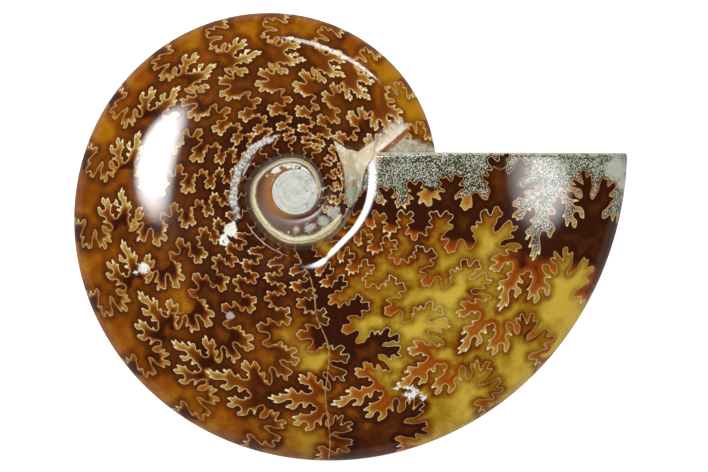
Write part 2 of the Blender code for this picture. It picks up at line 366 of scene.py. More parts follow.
def smooth_path(points, steps):
    """A curve through the points (Catmull-Rom)."""
    points = np.array(points, float)
    ends = np.vstack([2 * points[0] - points[1], points, 2 * points[-1] - points[-2]])
    before, here, there, after = ends[:-3], ends[1:-2], ends[2:-1], ends[3:]
    path = []
    for part in np.arange(steps) / steps:
        path.append(0.5 * (2 * here + (there - before) * part
                           + (2 * before - 5 * here + 4 * there - after) * part ** 2
                           + (3 * here - before - 3 * there + after) * part ** 3))
    path = np.stack(path, axis=1).reshape(-1, 2)
    return np.vstack([path, points[-1]])


def depth_at(around):
    """Depth of the drawn suture at a way round the section."""
    return -DEPTH_SCALE * np.log(SECTION.distance_at(around))


def around_at_depth(depth):
    """The way round the section at a depth of the drawn suture."""
    edge = SECTION.around_at(math.exp(-EDGE_DEPTH / DEPTH_SCALE))
    outer = edge * (depth - VENTER_DEPTH) / (EDGE_DEPTH - VENTER_DEPTH)
    inner = SECTION.around_at(np.exp(-np.maximum(depth, EDGE_DEPTH) / DEPTH_SCALE))
    return np.where(depth < EDGE_DEPTH, np.maximum(outer, 0.0), inner)


class Suture:
    """One suture on one flank, on the unrolled sheet."""

    def __init__(self, number, flank, drawn, step):
        tip, backs, depths = SUTURES[number]
        spacing = SUTURES[number - 1][0] - tip if number else FIRST_SPACING
        self.tip = tip
        self.width = spacing / DRAWN_SPACING
        marks = [SMOOTHING * WHOLE_SUTURE.index(mark) for mark in MARKS] + [len(drawn)]
        along = np.arange(len(drawn))
        back = self.width * drawn[:, 0] + eased(along, marks, backs + (0.0,))
        deeper = eased(along, [0] + marks, (0.0,) + depths + (0.0,))
        depth = drawn[:, 1] + deeper
        chance = np.random.default_rng(number)
        for waves in WAVES:
            turn = chance.uniform(0.0, TURN, 2)
            back += WAVE_HEIGHT * np.sin(depth / 160 * waves * TURN + turn[0])
            depth += WAVE_HEIGHT * np.sin(drawn[:, 0] / 30 * waves * TURN / 2 + turn[1]) \
                * np.clip((drawn[:, 1] - EDGE_DEPTH) / 10, 0, 1)
        angle = np.radians(tip - back)
        around = around_at_depth(depth)
        around[0] = 0.0
        around[-1] = SECTION.end
        self.angle, self.around = self.even_steps(angle, around, step)
        self.around *= flank
        self.flank = flank

    @staticmethod
    def even_steps(angle, around, step):
        """The path again, with points about one step apart on the shell."""
        size = scale_at((angle[1:] + angle[:-1]) / 2, (around[1:] + around[:-1]) / 2)
        length = np.append(0.0, np.cumsum(
            np.hypot(np.diff(angle), np.diff(around)) * size))
        at = np.linspace(0.0, length[-1], int(length[-1] / step))
        return np.interp(at, length, angle), np.interp(at, length, around)

    def midline(self, around):
        """Angle of the suture's middle line."""
        back = MIDLINE_BACK + MIDLINE_SLOPE * depth_at(around)
        return np.radians(self.tip - self.width * back)


def all_sutures():
    drawn = smooth_path(WHOLE_SUTURE, SMOOTHING)
    sutures = []
    for number in range(len(SUTURES)):
        sutures.append(Suture(number, 1, drawn, UPPER_STEPS[0]))
        sutures.append(Suture(number, -1, drawn, LOWER_STEPS[0]))
    return sutures


def cut_angle(around):
    """Angle of coiling at which the shell meets the ground cut."""
    around = np.asarray(around, float)
    angle = np.full(around.shape, TURN)
    for _ in range(CUT_STEPS):
        angle = TURN + np.arcsin(CUT_OFFSET / plain_radius(angle, around))
    return angle


def covered(angle, around):
    """Whether later turns hide this place."""
    return (angle < COVERED_BEFORE) & (SECTION.distance_at(around) > COVERED_BEYOND)


def sheet_outline():
    """The outline of the sheet, counter-clockwise, and the numbers of its corners."""
    ways = [0.0]
    while ways[-1] < SECTION.end:
        ways.append(ways[-1] + EDGE_STEPS[0] / scale_at(TURN, ways[-1]))
    right_up = np.array(ways[:-1]) * SECTION.end / ways[-2]
    right = np.append(-right_up[:0:-1], right_up)
    right_angle = cut_angle(right)
    left_way = np.linspace(-SECTION.end, SECTION.end, START_STEPS)
    start = math.radians(START_ANGLE)
    stops = [start]
    while stops[-1] < right_angle[-1]:
        stops.append(stops[-1] + EDGE_STEPS[1] / scale_at(stops[-1], SECTION.end))
    top = start + (np.array(stops[:-1]) - start) * (right_angle[-1] - start) \
        / (stops[-2] - start)
    points = [np.column_stack([top, np.full(len(top), -SECTION.end)]),
              np.column_stack([right_angle, right])[1:],
              np.column_stack([top, np.full(len(top), SECTION.end)])[::-1][1:],
              np.column_stack([np.full(START_STEPS, start), left_way])[::-1][1:-1]]
    counts = np.cumsum([0] + [len(part) for part in points])
    return np.vstack(points), counts


def grid(step, low, high):
    """Points in staggered rows, about one step apart on the shell."""
    points = []
    block = math.radians(BLOCK)
    for first in np.radians(np.arange(START_ANGLE, LAST_ANGLE, BLOCK)):
        around = low
        row = 0
        while around < high:
            gap = step / scale_at(first + block / 2, around)
            count = max(1, int(block / gap))
            across = first + (np.arange(count) + ROW_SHIFTS[row % 2]) * block / count
            points.append(np.column_stack([across, np.full(count, around)]))
            around += ROW_HEIGHT * gap
            row += 1
    return np.vstack(points)


def line_tree(paths):
    """A search tree over the points of several paths, on the unrolled sheet."""
    points = np.vstack(paths)
    tree = KDTree(len(points))
    for number, (x, y) in enumerate(points):
        tree.insert((x, y, 0.0), number)
    tree.balance()
    return tree, points


def distance_to(tree_and_points, places):
    """Distance on the sheet from each place to the nearest path."""
    tree, points = tree_and_points
    nearest = np.array([tree.find((x, y, 0.0))[1] for x, y in places])
    best = np.hypot(*(places - points[nearest]).T)
    for other in (nearest - 1, nearest + 1):
        other = np.clip(other, 0, len(points) - 1)
        start, side = points[nearest], points[other] - points[nearest]
        length = np.sum(side ** 2, axis=1)
        near = length < SAME_PATH
        part = np.clip(np.sum((places - start) * side, axis=1)
                       / np.maximum(length, 1e-12), 0.0, 1.0)
        gap = np.hypot(*(places - start - side * part[:, None]).T)
        best = np.where(near, np.minimum(best, gap), best)
    return best


def inside_sheet(places, margin):
    """Which places lie on the sheet and not too near its edge (margin in metres)."""
    angle, around = places.T
    gap = margin / scale_at(angle, around)
    return ((angle > math.radians(START_ANGLE) + gap) & (np.abs(around) < SECTION.end - gap)
            & (angle < cut_angle(around) - gap))


def sheet_points(step, flank):
    """Points about one step apart on one flank of the sheet, away from its edge."""
    low, high = (0.0, SECTION.end) if flank > 0 else (-SECTION.end, 0.0)
    points = grid(step, low, high)
    return points[inside_sheet(points, CLEAR_OF_EDGE * step)]


def sheet_triangles(sutures, extra_lines):
    """The unrolled sheet as points and triangles that follow the lines."""
    outline, corners = sheet_outline()
    points = [outline]
    edges = [(n, (n + 1) % len(outline)) for n in range(len(outline))]
    count = len(outline)
    paths = [np.column_stack([s.angle, s.around]) for s in sutures] + extra_lines
    for path in paths:
        numbers = np.where(inside_sheet(path, LINE_TO_EDGE) & ~covered(*path.T))[0]
        points.append(path[numbers])
        edges += [(count + n, count + n + 1) for n in range(len(numbers) - 1)
                  if numbers[n + 1] == numbers[n] + 1]
        count += len(numbers)
    for flank, steps in ((1, UPPER_STEPS), (-1, LOWER_STEPS)):
        tree = line_tree([p for p in paths if p[len(p) // 2, 1] * flank > 0])
        beside = BESIDE_SUTURES * (1.0 if flank > 0 else LOWER_STRIP)
        for step in steps[1:]:
            spread = sheet_points(step, flank)
            spread = spread[~covered(*spread.T)]
            size = scale_at(*spread.T)
            gap = distance_to(tree, spread) * size
            to_cut = (cut_angle(spread[:, 1]) - spread[:, 0]) * size
            detail = (to_cut < NEAR_CUT) | needs_detail(spread, flank)
            if step == steps[1]:
                kept = (gap > CLEAR_OF_LINES * step) & ((gap < beside) | detail)
            else:
                kept = (gap > BESIDE_SUTURES) & ~detail
            points.append(spread[kept])
        hidden = sheet_points(COVERED_STEP, flank)
        points.append(hidden[covered(*hidden.T)])
    points = np.vstack(points)
    made = delaunay_2d_cdt([Vector(p) for p in points], edges, [], 1, MERGED_WITHIN, True)
    places = np.array([tuple(v) for v in made[0]])
    first = {}
    for number, sources in enumerate(made[3]):
        for source in sources:
            first.setdefault(source, number)
    ring = [first[n] for n in range(len(outline))]
    triangles = np.array(made[2])
    middles = places[triangles].mean(axis=1)
    return places, triangles[middles[:, 0] < cut_angle(middles[:, 1])], ring, corners


def behind(suture, places):
    """Which places lie behind a suture, by counting how often they must cross it."""
    order = np.argsort(places[:, 1])
    x, y = places[order].T
    odd = np.zeros(len(places), bool)
    sx, sy = suture.angle, suture.around
    low = np.searchsorted(y, np.minimum(sy[1:], sy[:-1]))
    high = np.searchsorted(y, np.maximum(sy[1:], sy[:-1]))
    for n in np.where(high > low)[0]:
        part = slice(low[n], high[n])
        slope = (sx[n + 1] - sx[n]) / (sy[n + 1] - sy[n])
        odd[part] ^= sx[n] + (y[part] - sy[n]) * slope > x[part]
    result = np.zeros(len(places), bool)
    result[order] = odd
    return result


# How the navel differs from a true spiral, at angles of coiling in degrees: how far its
# seam and its shoulder stand out, in parts of the outer radius, and how far the
# shoulder drops towards the cut, in millimetres
SEAM_SHIFTS = ((-60.0, 0.015), (-29.0, 0.015), (3.5, 0.005), (27.7, 0.0), (64.0, 0.0),
               (101.0, -0.008), (132.0, -0.010), (154.0, 0.0), (180.0, 0.006),
               (229.0, 0.0), (270.0, 0.010), (319.0, 0.003), (342.0, -0.004),
               (400.0, -0.004))
SHOULDER_SHIFTS = ((200.0, 0.0), (250.0, 0.0), (286.0, 0.015), (301.0, -0.006),
                   (316.0, -0.020), (345.0, -0.025), (379.0, -0.035), (400.0, -0.035))
SHOULDER_DROPS = ((200.0, 0.0), (290.0, 0.0), (305.0, 0.05), (320.0, 0.3), (345.0, 1.0),
                  (365.0, 1.9), (385.0, 3.0), (400.0, 4.0))
SEAM_REACH = (0.19, 0.25)
SHOULDER_REACH = (0.19, 0.23, 0.27, 0.50)
DROP_REACH = (0.24, 0.62)

# Crust left beside the end of the last turn: its outline (x, y from the middle of the
# coil), the height of its top at y = 0 and how that grows with y, how far it falls
# outside the outline and over what width, in millimetres
CRUST_OUTLINE = ((8.1, 10.0), (10.6, 8.3), (13.0, 7.6), (14.8, 8.9), (16.5, 9.8),
                 (16.2, 6.6), (14.4, 4.0), (13.6, 0.6), (12.7, -2.3), (11.4, -3.7),
                 (10.8, -1.7), (10.4, 2.3), (10.0, 4.9), (9.0, 7.2))
CRUST_TOP = (6.35, 0.045)
CRUST_DOME = (0.35, 1.3)
CRUST_FALL = (1.2, 0.5)
# The ridge beside it: both ends of its crest (x, y, z), how wide it slopes away on its
# outer side and how abruptly on the other
RIDGE = ((15.6, 6.0, 7.3), (22.3, 11.9, 4.4))
RIDGE_SLOPES = (3.4, 0.5)
RIDGE_FALL = 1.5
# Grey stone between the ridge and the cut
STONE_OUTLINE = ((18.7, 7.0), (18.9, 8.2), (21.9, 10.8), (23.9, 10.2), (26.9, 9.4),
                 (28.9, 8.0), (29.3, 7.0))
# Width over which the crust blends into the shell, and how far below it nothing is left
CRUST_BLEND = 0.12 * MM
BLEND_REACH = 6.0
NO_CRUST = -1.0
CRUST_GAP = 0.05 * MM
# Where the triangles are small all over: within this distance in parts of the outer
# radius, in this box and round the middle of the coil
DETAIL_DISTANCE = 0.30
SPOT_DETAIL = 1.6
DETAIL_BOX = ((5.5 * MM, 30.0 * MM), (-6.0 * MM, 14.0 * MM))
DETAIL_NAVEL = 10.5 * MM
# Step on the sheet over which a slope is measured
SLOPE_GAP = 0.004
# The last stretch before the cut
LAST_STRETCH = 0.8 * TURN


def along_coil(table, angle):
    """A value that is given at some angles of coiling in degrees."""
    path = smooth_path(table, 12)
    return np.interp(np.degrees(angle), path[:, 0], path[:, 1])


def plain_radius(angle, around):
    """Distance from the coil axis to places on the bare shell."""
    distance = SECTION.distance_at(around)
    shoulder = smooth_step(distance, *SHOULDER_REACH[:2]) \
        * (1.0 - smooth_step(distance, *SHOULDER_REACH[2:]))
    seam = 1.0 - smooth_step(distance, *SEAM_REACH)
    return (distance + along_coil(SHOULDER_SHIFTS, angle) * shoulder
            + along_coil(SEAM_SHIFTS, angle) * seam) * outer_radius(angle)


def plain_points(angle, around):
    """Places on the bare shell, without its crust."""
    size = outer_radius(angle)
    distance = SECTION.distance_at(around)
    out = plain_radius(angle, around)
    drop = along_coil(SHOULDER_DROPS, angle) * MM * (1.0 - smooth_step(distance, *DROP_REACH))
    return np.column_stack([out * np.cos(angle), out * np.sin(angle),
                            SECTION.height_at(around) * size
                            - np.where(around > 0.0, drop, 0.0)])


def slopes(shape, angle, around):
    """Unit vectors square to a shape given by its points."""
    across = shape(angle + SLOPE_GAP, around) - shape(angle - SLOPE_GAP, around)
    along = shape(angle, around + SLOPE_GAP) - shape(angle, around - SLOPE_GAP)
    normal = np.cross(across, along)
    return normal / np.maximum(np.linalg.norm(normal, axis=1), 1e-15)[:, None]


def depth_inside(outline, x, y):
    """How far places in the coil plane lie inside an outline, less than 0 outside."""
    ring = np.array(outline) * MM
    nearest = np.full(len(x), 1.0)
    inside = np.zeros(len(x), bool)
    for (ax, ay), (bx, by) in zip(ring, np.roll(ring, -1, axis=0)):
        run_x, run_y = bx - ax, by - ay
        part = np.clip(((x - ax) * run_x + (y - ay) * run_y) / (run_x ** 2 + run_y ** 2), 0, 1)
        nearest = np.minimum(nearest, np.hypot(x - ax - run_x * part, y - ay - run_y * part))
        crossed = (ay > y) != (by > y)
        inside ^= crossed & (x < ax + run_x * (y - ay) / (by - ay if by != ay else 1.0))
    return np.where(inside, nearest, -nearest)


def ridge_place(x, y):
    """How far places lie on the ridge's outer side, how far along it and how far past
    its ends."""
    start, end = np.array(RIDGE) * MM
    run = end - start
    length = math.hypot(run[0], run[1])
    part = ((x - start[0]) * run[0] + (y - start[1]) * run[1]) / length ** 2
    side = ((y - start[1]) * run[0] - (x - start[0]) * run[1]) / length
    past = np.maximum(np.maximum(-part, part - 1.0), 0.0) * length
    return side, np.clip(part, 0.0, 1.0), past


def crust_height(x, y):
    """Height of the crust over a place in the coil plane, far down where there is none."""
    deep = depth_inside(CRUST_OUTLINE, x, y)
    top = (CRUST_TOP[0] + CRUST_TOP[1] * y / MM) * MM
    top += CRUST_DOME[0] * MM * smooth_step(deep, 0.0, CRUST_DOME[1] * MM)
    crust = top - CRUST_FALL[0] * MM * (np.maximum(-deep, 0.0) / (CRUST_FALL[1] * MM)) ** 2
    side, part, past = ridge_place(x, y)
    crest = (RIDGE[0][2] + (RIDGE[1][2] - RIDGE[0][2]) * part) * MM
    width = np.where(side > 0.0, RIDGE_SLOPES[0], RIDGE_SLOPES[1]) * MM
    off = np.hypot(side, past)
    ridge = crest - RIDGE_FALL * MM * (np.sqrt(1.0 + (2.0 * off / width) ** 2) - 1.0)
    height = np.maximum(crust, np.where(off < 3.0 * width, ridge, NO_CRUST))
    return np.maximum(height, NO_CRUST)


def shell_points(angle, around):
    """Places on the finished shell, with its broken rim and the crust."""
    points = plain_points(angle, around)
    to_cut = np.where(angle > LAST_STRETCH, CUT_OFFSET - points[:, 1], 1.0)
    part = np.clip(1.0 - to_cut / RIM_WIDTH, 0.0, 1.0)
    drop = RIM_DROP * (1.0 - np.sqrt(1.0 - part ** 2))
    drop *= smooth_step(-depth_inside(CRUST_OUTLINE, points[:, 0], points[:, 1]), 0.0, MM)
    points -= slopes(plain_points, angle, around) * drop[:, None]
    crust = crust_height(points[:, 0], points[:, 1]) - points[:, 2]
    crust -= np.where(angle < 0.5 * TURN, CRUST_GAP, 0.0) \
        * smooth_step(CUT_OFFSET - points[:, 1], -CRUST_GAP, CRUST_GAP)
    lift = np.where(crust > -BLEND_REACH * CRUST_BLEND,
                    CRUST_BLEND * np.log1p(np.exp(np.clip(crust / CRUST_BLEND, -30, 30))), 0.0)
    points[:, 2] += np.where(around > 0.0, lift, 0.0)
    return points


def distance_from(points, x, y):
    """Distance in the coil plane from a place that is given in millimetres."""
    return np.hypot(points[:, 0] - x * MM, points[:, 1] - y * MM)


def needs_detail(places, flank):
    """Where the sheet needs small triangles even far from the sutures."""
    if flank < 0:
        return np.zeros(len(places), bool)
    points = plain_points(*places.T)
    low, high = np.array(DETAIL_BOX).T
    boxed = np.all((points[:, :2] > low) & (points[:, :2] < high), axis=1)
    boxed |= SECTION.distance_at(places[:, 1]) < DETAIL_DISTANCE
    boxed |= distance_from(points, 0.0, 0.0) < DETAIL_NAVEL
    for spots in SPOTS:
        for x, y, radius, _ in spots:
            boxed |= distance_from(points, x, y) < SPOT_DETAIL * radius * MM
    return boxed


def cap_triangles(ring):
    """Triangles that close a flat ring of points, as numbers into it."""
    flat = [Vector((x, z)) for x, z in ring]
    edges = [(n, (n + 1) % len(ring)) for n in range(len(ring))]
    made = delaunay_2d_cdt(flat, edges, [], 1, 1e-9, True)
    faces = [[made[3][n][0] for n in face] for face in made[2]]
    middles = np.array(ring)[faces].mean(axis=1)
    inside = depth_inside(np.array(ring) / MM, *middles.T) > 0.0
    return [face for face, kept in zip(faces, inside) if kept]


# Tones of the chamber behind each of the first sutures, from dark brown at 0 to pale
# yellow at 1, at TONE_DEPTHS on the way in from the outer edge. Older ones have the last.
TONE_DEPTHS = (6.0, 26.0, 47.0, 72.0)
CHAMBER_TONES = (
    (0.05, 0.08, 0.14, 0.12), (0.95, 0.72, 0.80, 0.72), (0.72, 0.72, 0.80, 0.72),
    (0.72, 0.78, 0.98, 0.75), (0.15, 0.66, 0.15, 0.15), (0.65, 0.22, 0.74, 0.52),
    (0.62, 0.48, 0.60, 0.50), (0.68, 0.60, 0.55, 0.46),
)
# Lighter and darker clouds: the x and y of the middle, from the middle of the coil, and
# the radius in millimetres, and the change of tone
CLOUDS = (
    (-38, 14, 5, 0.16), (-36, 21, 4.5, 0.14), (-29, 29, 4.5, 0.2), (-17, 27.5, 5, 0.18),
    (-5, 34, 5.5, 0.16), (17, 27, 4, 0.12), (24, 19, 4.5, 0.42), (27, 14.5, 3.5, 0.4), (20, 20, 4, 0.2),
    (-23, -22, 3, 0.28), (-27, -31.5, 4, -0.22), (-33, -37, 4, 0.22), (-1, -29, 3, 0.25),
    (3.5, -34, 3, 0.32), (-18, -30, 4, -0.15), (2, -48, 4.5, 0.22), (-16, -45, 5, 0.14),
    (-39, -14, 4, 0.12), (-16.5, 0, 5, -0.12), (13.5, 17, 5, -0.06), (59, -23, 6, 0.3),
    (47, -37, 5, 0.12), (31, -22, 4, 0.15),
)
# Where a cloud is full and where it ends, in parts of its radius
CLOUD_EDGE = (0.4, 1.5)
# How much darker the chambers grow towards the navel, and between which depths
DARKER_INSIDE = (0.15, 70.0, 105.0)
# Reach of a fold, in degrees from its suture's middle line, that counts as 1
FULL_REACH = 9.0
# How near a point is to the suture on all sides: the number of points along the suture
# that are looked for, and their mean distance in the tip of a fold and in the open
TIP_POINTS = 22
TIP_SPACING = (0.60, 1.35)
TIP_RANGE = 1.7
# Small spots on the shell, each with the x and y of its middle from the middle of the
# coil and its radius, in millimetres, and its strength
WHITE_CRUST = (
    (-12.4, -7.9, 1.6, 1), (-13.7, -10, 1.2, 0.9), (-29.7, -15.6, 1.5, 0.8), (-31.4, -16.9, 1, 0.7),
    (23.6, -40.5, 2, 0.75), (26, -41.5, 1.2, 0.7), (20.8, -39.2, 1.2, 0.6), (-3.6, 4.6, 1.6, 0.9),
    (-1.6, 5.6, 1.6, 0.9), (0.8, 5.6, 1.6, 0.8), (3, 4.8, 1.8, 0.9), (4.6, 3, 1.7, 1), (5.4, 1, 1.5, 1),
    (-5.2, 3.4, 1.1, 0.6), (-1, -9.3, 1, 0.75), (-2.8, -8.8, 0.9, 0.7), (1.6, -9.6, 1, 0.6),
    (-4.6, -7.9, 0.9, 0.7), (-6.3, -6.2, 0.9, 0.65), (-7.6, -4.2, 0.7, 0.5),
)
MAUVE_STONE = (
    (-12.4, -25.1, 1, 1),
)
GOLDEN_FILLING = (
    (27, -2, 2.6, 1), (34.6, -3.2, 1.9, 1),
)
# Grey film; the last four spots, on the inner turn, are painted soft highlights
GREY_FILM_AND_GLOWS = (
    (64.6, 4.2, 2.4, 1), (66.5, 1.2, 1.6, 0.9), (8.2, -4.6, 1.5, 0.9), (6.2, -6.4, 1.3, 0.9),
    (3.4, -7.6, 1.2, 0.8), (0.6, -8, 0.9, 0.7),
)
# How far a spot fades out past its radius
SPOT_FADE = 1.5
SPOTS = (WHITE_CRUST, MAUVE_STONE, GOLDEN_FILLING, GREY_FILM_AND_GLOWS)
# Spots whose middle is nearer to the coil's than this lie on the inner turn only
NAVEL_FLOOR = 10.3 * MM
INNER_TURN = 0.1
# The broken edge of the navel's shoulder, with painted glints: angle of coiling, distance
# in parts of the outer radius, and its half-width in the same parts
BROKEN_EDGE = ((98.0, 0.300), (106.0, 0.299), (132.0, 0.289), (156.0, 0.276),
               (182.0, 0.270), (201.0, 0.268), (214.0, 0.266))
BROKEN_WIDTH = 0.019
BROKEN_ENDS = 8.0
# Cracks, as points with their angle of coiling in degrees and their distance in parts
# of the outer radius, and how strongly they show
CRACKS = (
    (((277.6, 0.99), (278.6, 0.90), (279.0, 0.76), (281.2, 0.66), (282.9, 0.58),
      (281.8, 0.51), (280.6, 0.46), (281.6, 0.38), (281.0, 0.30), (277.0, 0.26),
      (274.0, 0.22)), 1.0),
    (((222.0, 0.745), (226.5, 0.70), (229.5, 0.655)), 0.7),
    (((368.2, 0.665), (365.6, 0.62), (366.6, 0.595)), 0.8),
)
# Width of the grey edge along the cut
CUT_GREY_WIDTH = 0.45 * MM
# Kinds of face: the rolled-up sheet, the inner wall, the cut, the plug, the ground flats
SHEET_PART, WALL_PART, CUT_PART, PLUG_PART, GROUND_PART = range(5)
# Turns of coiling over which the folds' colours change, and where the chambers turn pale
MIDDLE_TURN = (0.28, 0.42)
YOUNG_TURN = (0.70, 0.82)
# Colours across the band round the navel, from its inner edge to the seam; the dark first
# stop, which also colours the inner wall, is painted shade
BAND_STOPS_AND_WALL_SHADE = ((0.0, "8a7646"), (0.12, "dbd3b2"), (0.50, "e2d9b6"), (0.62, "a89663"),
              (0.74, "dccb93"), (0.94, "e6d7a6"), (1.0, "8c703c"))


def beside(angles, places):
    """Which places lie at a path's angles of coiling, or a little off them."""
    return ((places[:, 0] > angles.min() - PATH_MARGIN)
            & (places[:, 0] < angles.max() + PATH_MARGIN))


def corner_values(sutures, places, triangles):
    """For each triangle corner, its share of the way to the suture (less than 0 in the
    folds that point to the mouth), the reach of the fold that it lies in and how narrow
    its tip is; for each triangle, its chamber; for each point, the distance to the
    nearest suture in metres."""
    middles = places[triangles].mean(axis=1)
    size = scale_at(places[:, 0], places[:, 1])
    line = np.full(len(places), FAR_FROM_LINES * MM)
    fold = np.zeros(triangles.shape + (3,))
    chamber = np.zeros(len(triangles), int)
    saddle = np.zeros(len(triangles), bool)
    for suture in sutures:
        same_side = middles[:, 1] * suture.flank > 0
        near = same_side & beside(suture.angle, middles)
        back = np.zeros(len(triangles), bool)
        back[same_side] = middles[same_side, 0] < suture.angle.min()
        back[near] = behind(suture, middles[near])
        chamber[same_side & back] += 1
        point_near = (places[:, 1] * suture.flank > -0.02) & beside(suture.angle, places)
        tree = line_tree([np.column_stack([suture.angle, suture.around])])
        gap = np.full(len(places), 1.0)
        gap[point_near] = distance_to(tree, places[point_near])
        line = np.minimum(line, gap * size)
        middle_gap = np.abs(places[:, 0] - suture.midline(places[:, 1]))
        deeper = np.stack([middle_gap / (middle_gap + gap + 1e-9),
                           middle_gap / math.radians(FULL_REACH),
                           np.zeros(len(places))], axis=1)
        folded = near & (back == (middles[:, 0] > suture.midline(middles[:, 1])))
        fold[folded] = np.maximum(fold[folded], deeper[triangles[folded]])
        saddle |= folded & back
    fold[saddle, :, 0] *= -1
    fold[:, :, 2] = tip_values(sutures, places, line, size)[triangles]
    return line, fold, chamber


def tip_values(sutures, places, line, size):
    """How far each point is in the narrow tip of a fold, with the suture on all sides."""
    tip = np.zeros(len(places))
    for flank in (1, -1):
        paths = [np.column_stack([s.angle, s.around]) for s in sutures if s.flank == flank]
        tree, _ = line_tree(paths)
        here = np.where((line < TIP_RANGE * MM) & (places[:, 1] * flank > 0)
                        & ~covered(places[:, 0], places[:, 1]))[0]
        spread = np.array([np.mean([found[2] for found in
                                    tree.find_n((x, y, 0.0), TIP_POINTS)])
                           for x, y in places[here]])
        coarser = 1.0 if flank > 0 else LOWER_STEPS[0] / UPPER_STEPS[0]
        low, high = (value * coarser * MM for value in TIP_SPACING)
        tip[here] = 1.0 - smooth_step(spread * size[here], low, high)
    return tip


def shell_mesh():
    """The whole shell as one closed mesh, still lying flat round the coil axis."""
    sutures = all_sutures()
    places, triangles, ring, corners = sheet_triangles(sutures, crease_lines() + crack_paths())
    line, fold, chamber = corner_values(sutures, places, triangles)
    points = shell_points(*places.T)
    normals = slopes(shell_points, *places.T)
    low = ring[:corners[1]]
    right = [low[-1]] + ring[corners[1]:corners[2]]
    top = ([right[-1]] + ring[corners[2]:corners[3]])[::-1]
    left = [top[0]] + ring[corners[3]:] + [low[0]]
    points[right, 1] = CUT_OFFSET
    faces = triangles.tolist()
    sheet_faces = len(faces)
    for n in range(len(low) - 1):
        faces.append([top[n], top[n + 1], low[n + 1], low[n]])
    faces.append(left[::-1])
    wall_faces = len(faces)
    end_ring = right[::-1]
    for face in cap_triangles(points[end_ring][:, [0, 2]]):
        corner = [end_ring[n] for n in face]
        if np.cross(points[corner[1]] - points[corner[0]],
                    points[corner[2]] - points[corner[0]])[1] < 0:
            corner.reverse()
        faces.append(corner)
    mesh = bpy.data.meshes.new("ammonite shell")
    mesh.from_pydata(points.tolist(), [], faces)
    mesh.update()
    kind = np.full(len(faces), SHEET_PART)
    kind[sheet_faces:wall_faces] = WALL_PART
    kind[wall_faces:] = CUT_PART
    add_attribute(mesh, "part", 'FACE', kind)
    gap, strength = crack_values(places)
    for name, values in (
            ("line", line / MM), ("smooth normal", normals), ("coil", points / MM),
            ("place", np.column_stack([places[:, 0] / TURN, SECTION.distance_at(places[:, 1]),
                                       np.sign(places[:, 1])])),
            ("cover", cover_values(places, points)), ("crust", crust_values(places, points)),
            ("spots", spot_values(places, points)),
            ("crack", np.column_stack([gap / MM, strength, np.zeros(len(gap))]))):
        add_attribute(mesh, name, 'POINT', values)
    tone = chamber_tone(chamber, places[triangles][:, :, 1]) \
        + cloud_values(places, points)[triangles]
    others = len(mesh.loops) - 3 * sheet_faces
    for name, values in (("fold", fold.reshape(-1, 3)), ("tone", tone.ravel()),
                         ("filling", np.repeat(chamber == 0, 3))):
        values = np.concatenate([values, np.zeros((others,) + values.shape[1:])])
        add_attribute(mesh, name, 'CORNER', values)
    return mesh


def add_attribute(mesh, name, domain, values):
    """Store one value, or three or four together, for each point, corner or face."""
    width = values.shape[1] if values.ndim > 1 else 1
    kind, field = {1: ('FLOAT', "value"), 3: ('FLOAT_VECTOR', "vector"),
                   4: ('FLOAT_COLOR', "color")}[width]
    layer = mesh.attributes.new(name, kind, domain)
    layer.data.foreach_set(field, np.ascontiguousarray(values, np.float32).ravel())


def chamber_tone(chamber, around):
    """Tone at each corner of the triangles of each chamber."""
    table = np.array(CHAMBER_TONES)
    depth = depth_at(around)
    tone = np.zeros(around.shape)
    for number, tones in enumerate(table):
        here = np.minimum(np.maximum(chamber - 1, 0), len(table) - 1) == number
        tone[here] = np.interp(depth[here], TONE_DEPTHS, tones)
    return tone - DARKER_INSIDE[0] * smooth_step(depth, *DARKER_INSIDE[1:])


def cloud_values(places, points):
    """Change of tone at each point."""
    change = np.zeros(len(points))
    for x, y, radius, strength in CLOUDS:
        off = distance_from(points, x, y)
        change += strength * (1.0 - smooth_step(off / (radius * MM), *CLOUD_EDGE))
    return change * (places[:, 1] > 0)


def crack_paths():
    """The cracks on the unrolled sheet."""
    return [smooth_path([(math.radians(angle), float(SECTION.around_at(distance)))
                         for angle, distance in points], 20) for points, _ in CRACKS]


def crack_values(places):
    """How near each point is to a crack, in metres, and the crack's strength."""
    size = scale_at(*places.T)
    gap = np.full(len(places), FAR_FROM_LINES * MM)
    strength = np.zeros(len(places))
    for path, (_, shown) in zip(crack_paths(), CRACKS):
        near = beside(path[:, 0], places) & (places[:, 1] > 0)
        found = distance_to(line_tree([path]), places[near]) * size[near]
        gap[near] = np.minimum(gap[near], found)
        strength[near] = np.where(found <= gap[near], shown, strength[near])
    return gap, strength


def spot_values(places, points):
    """Each kind of spot at each point, fading out from the middle of the spot."""
    values = np.zeros((len(points), 4))
    for kind, spots in enumerate(SPOTS):
        for x, y, radius, strength in spots:
            off = distance_from(points, x, y)
            share = np.clip(SPOT_FADE - off / (radius * MM), 0.0, 1.0) * (places[:, 1] > 0)
            if math.hypot(x, y) * MM < NAVEL_FLOOR:
                share *= places[:, 0] < INNER_TURN
            values[:, kind] = np.maximum(values[:, kind], share * strength)
    return values


def crease_lines():
    """Lines along the sheet where its section has a corner."""
    lines = []
    for around in (SECTION.around_at(SEAM_AT), SECTION.around_at(LEDGE_INNER)):
        stops = [math.radians(START_ANGLE)]
        while stops[-1] < cut_angle(around):
            stops.append(stops[-1] + CREASE_STEP / scale_at(stops[-1], around))
        path = np.column_stack([stops, np.full(len(stops), around)])
        lines += [path, path * (1, -1)]
    return lines


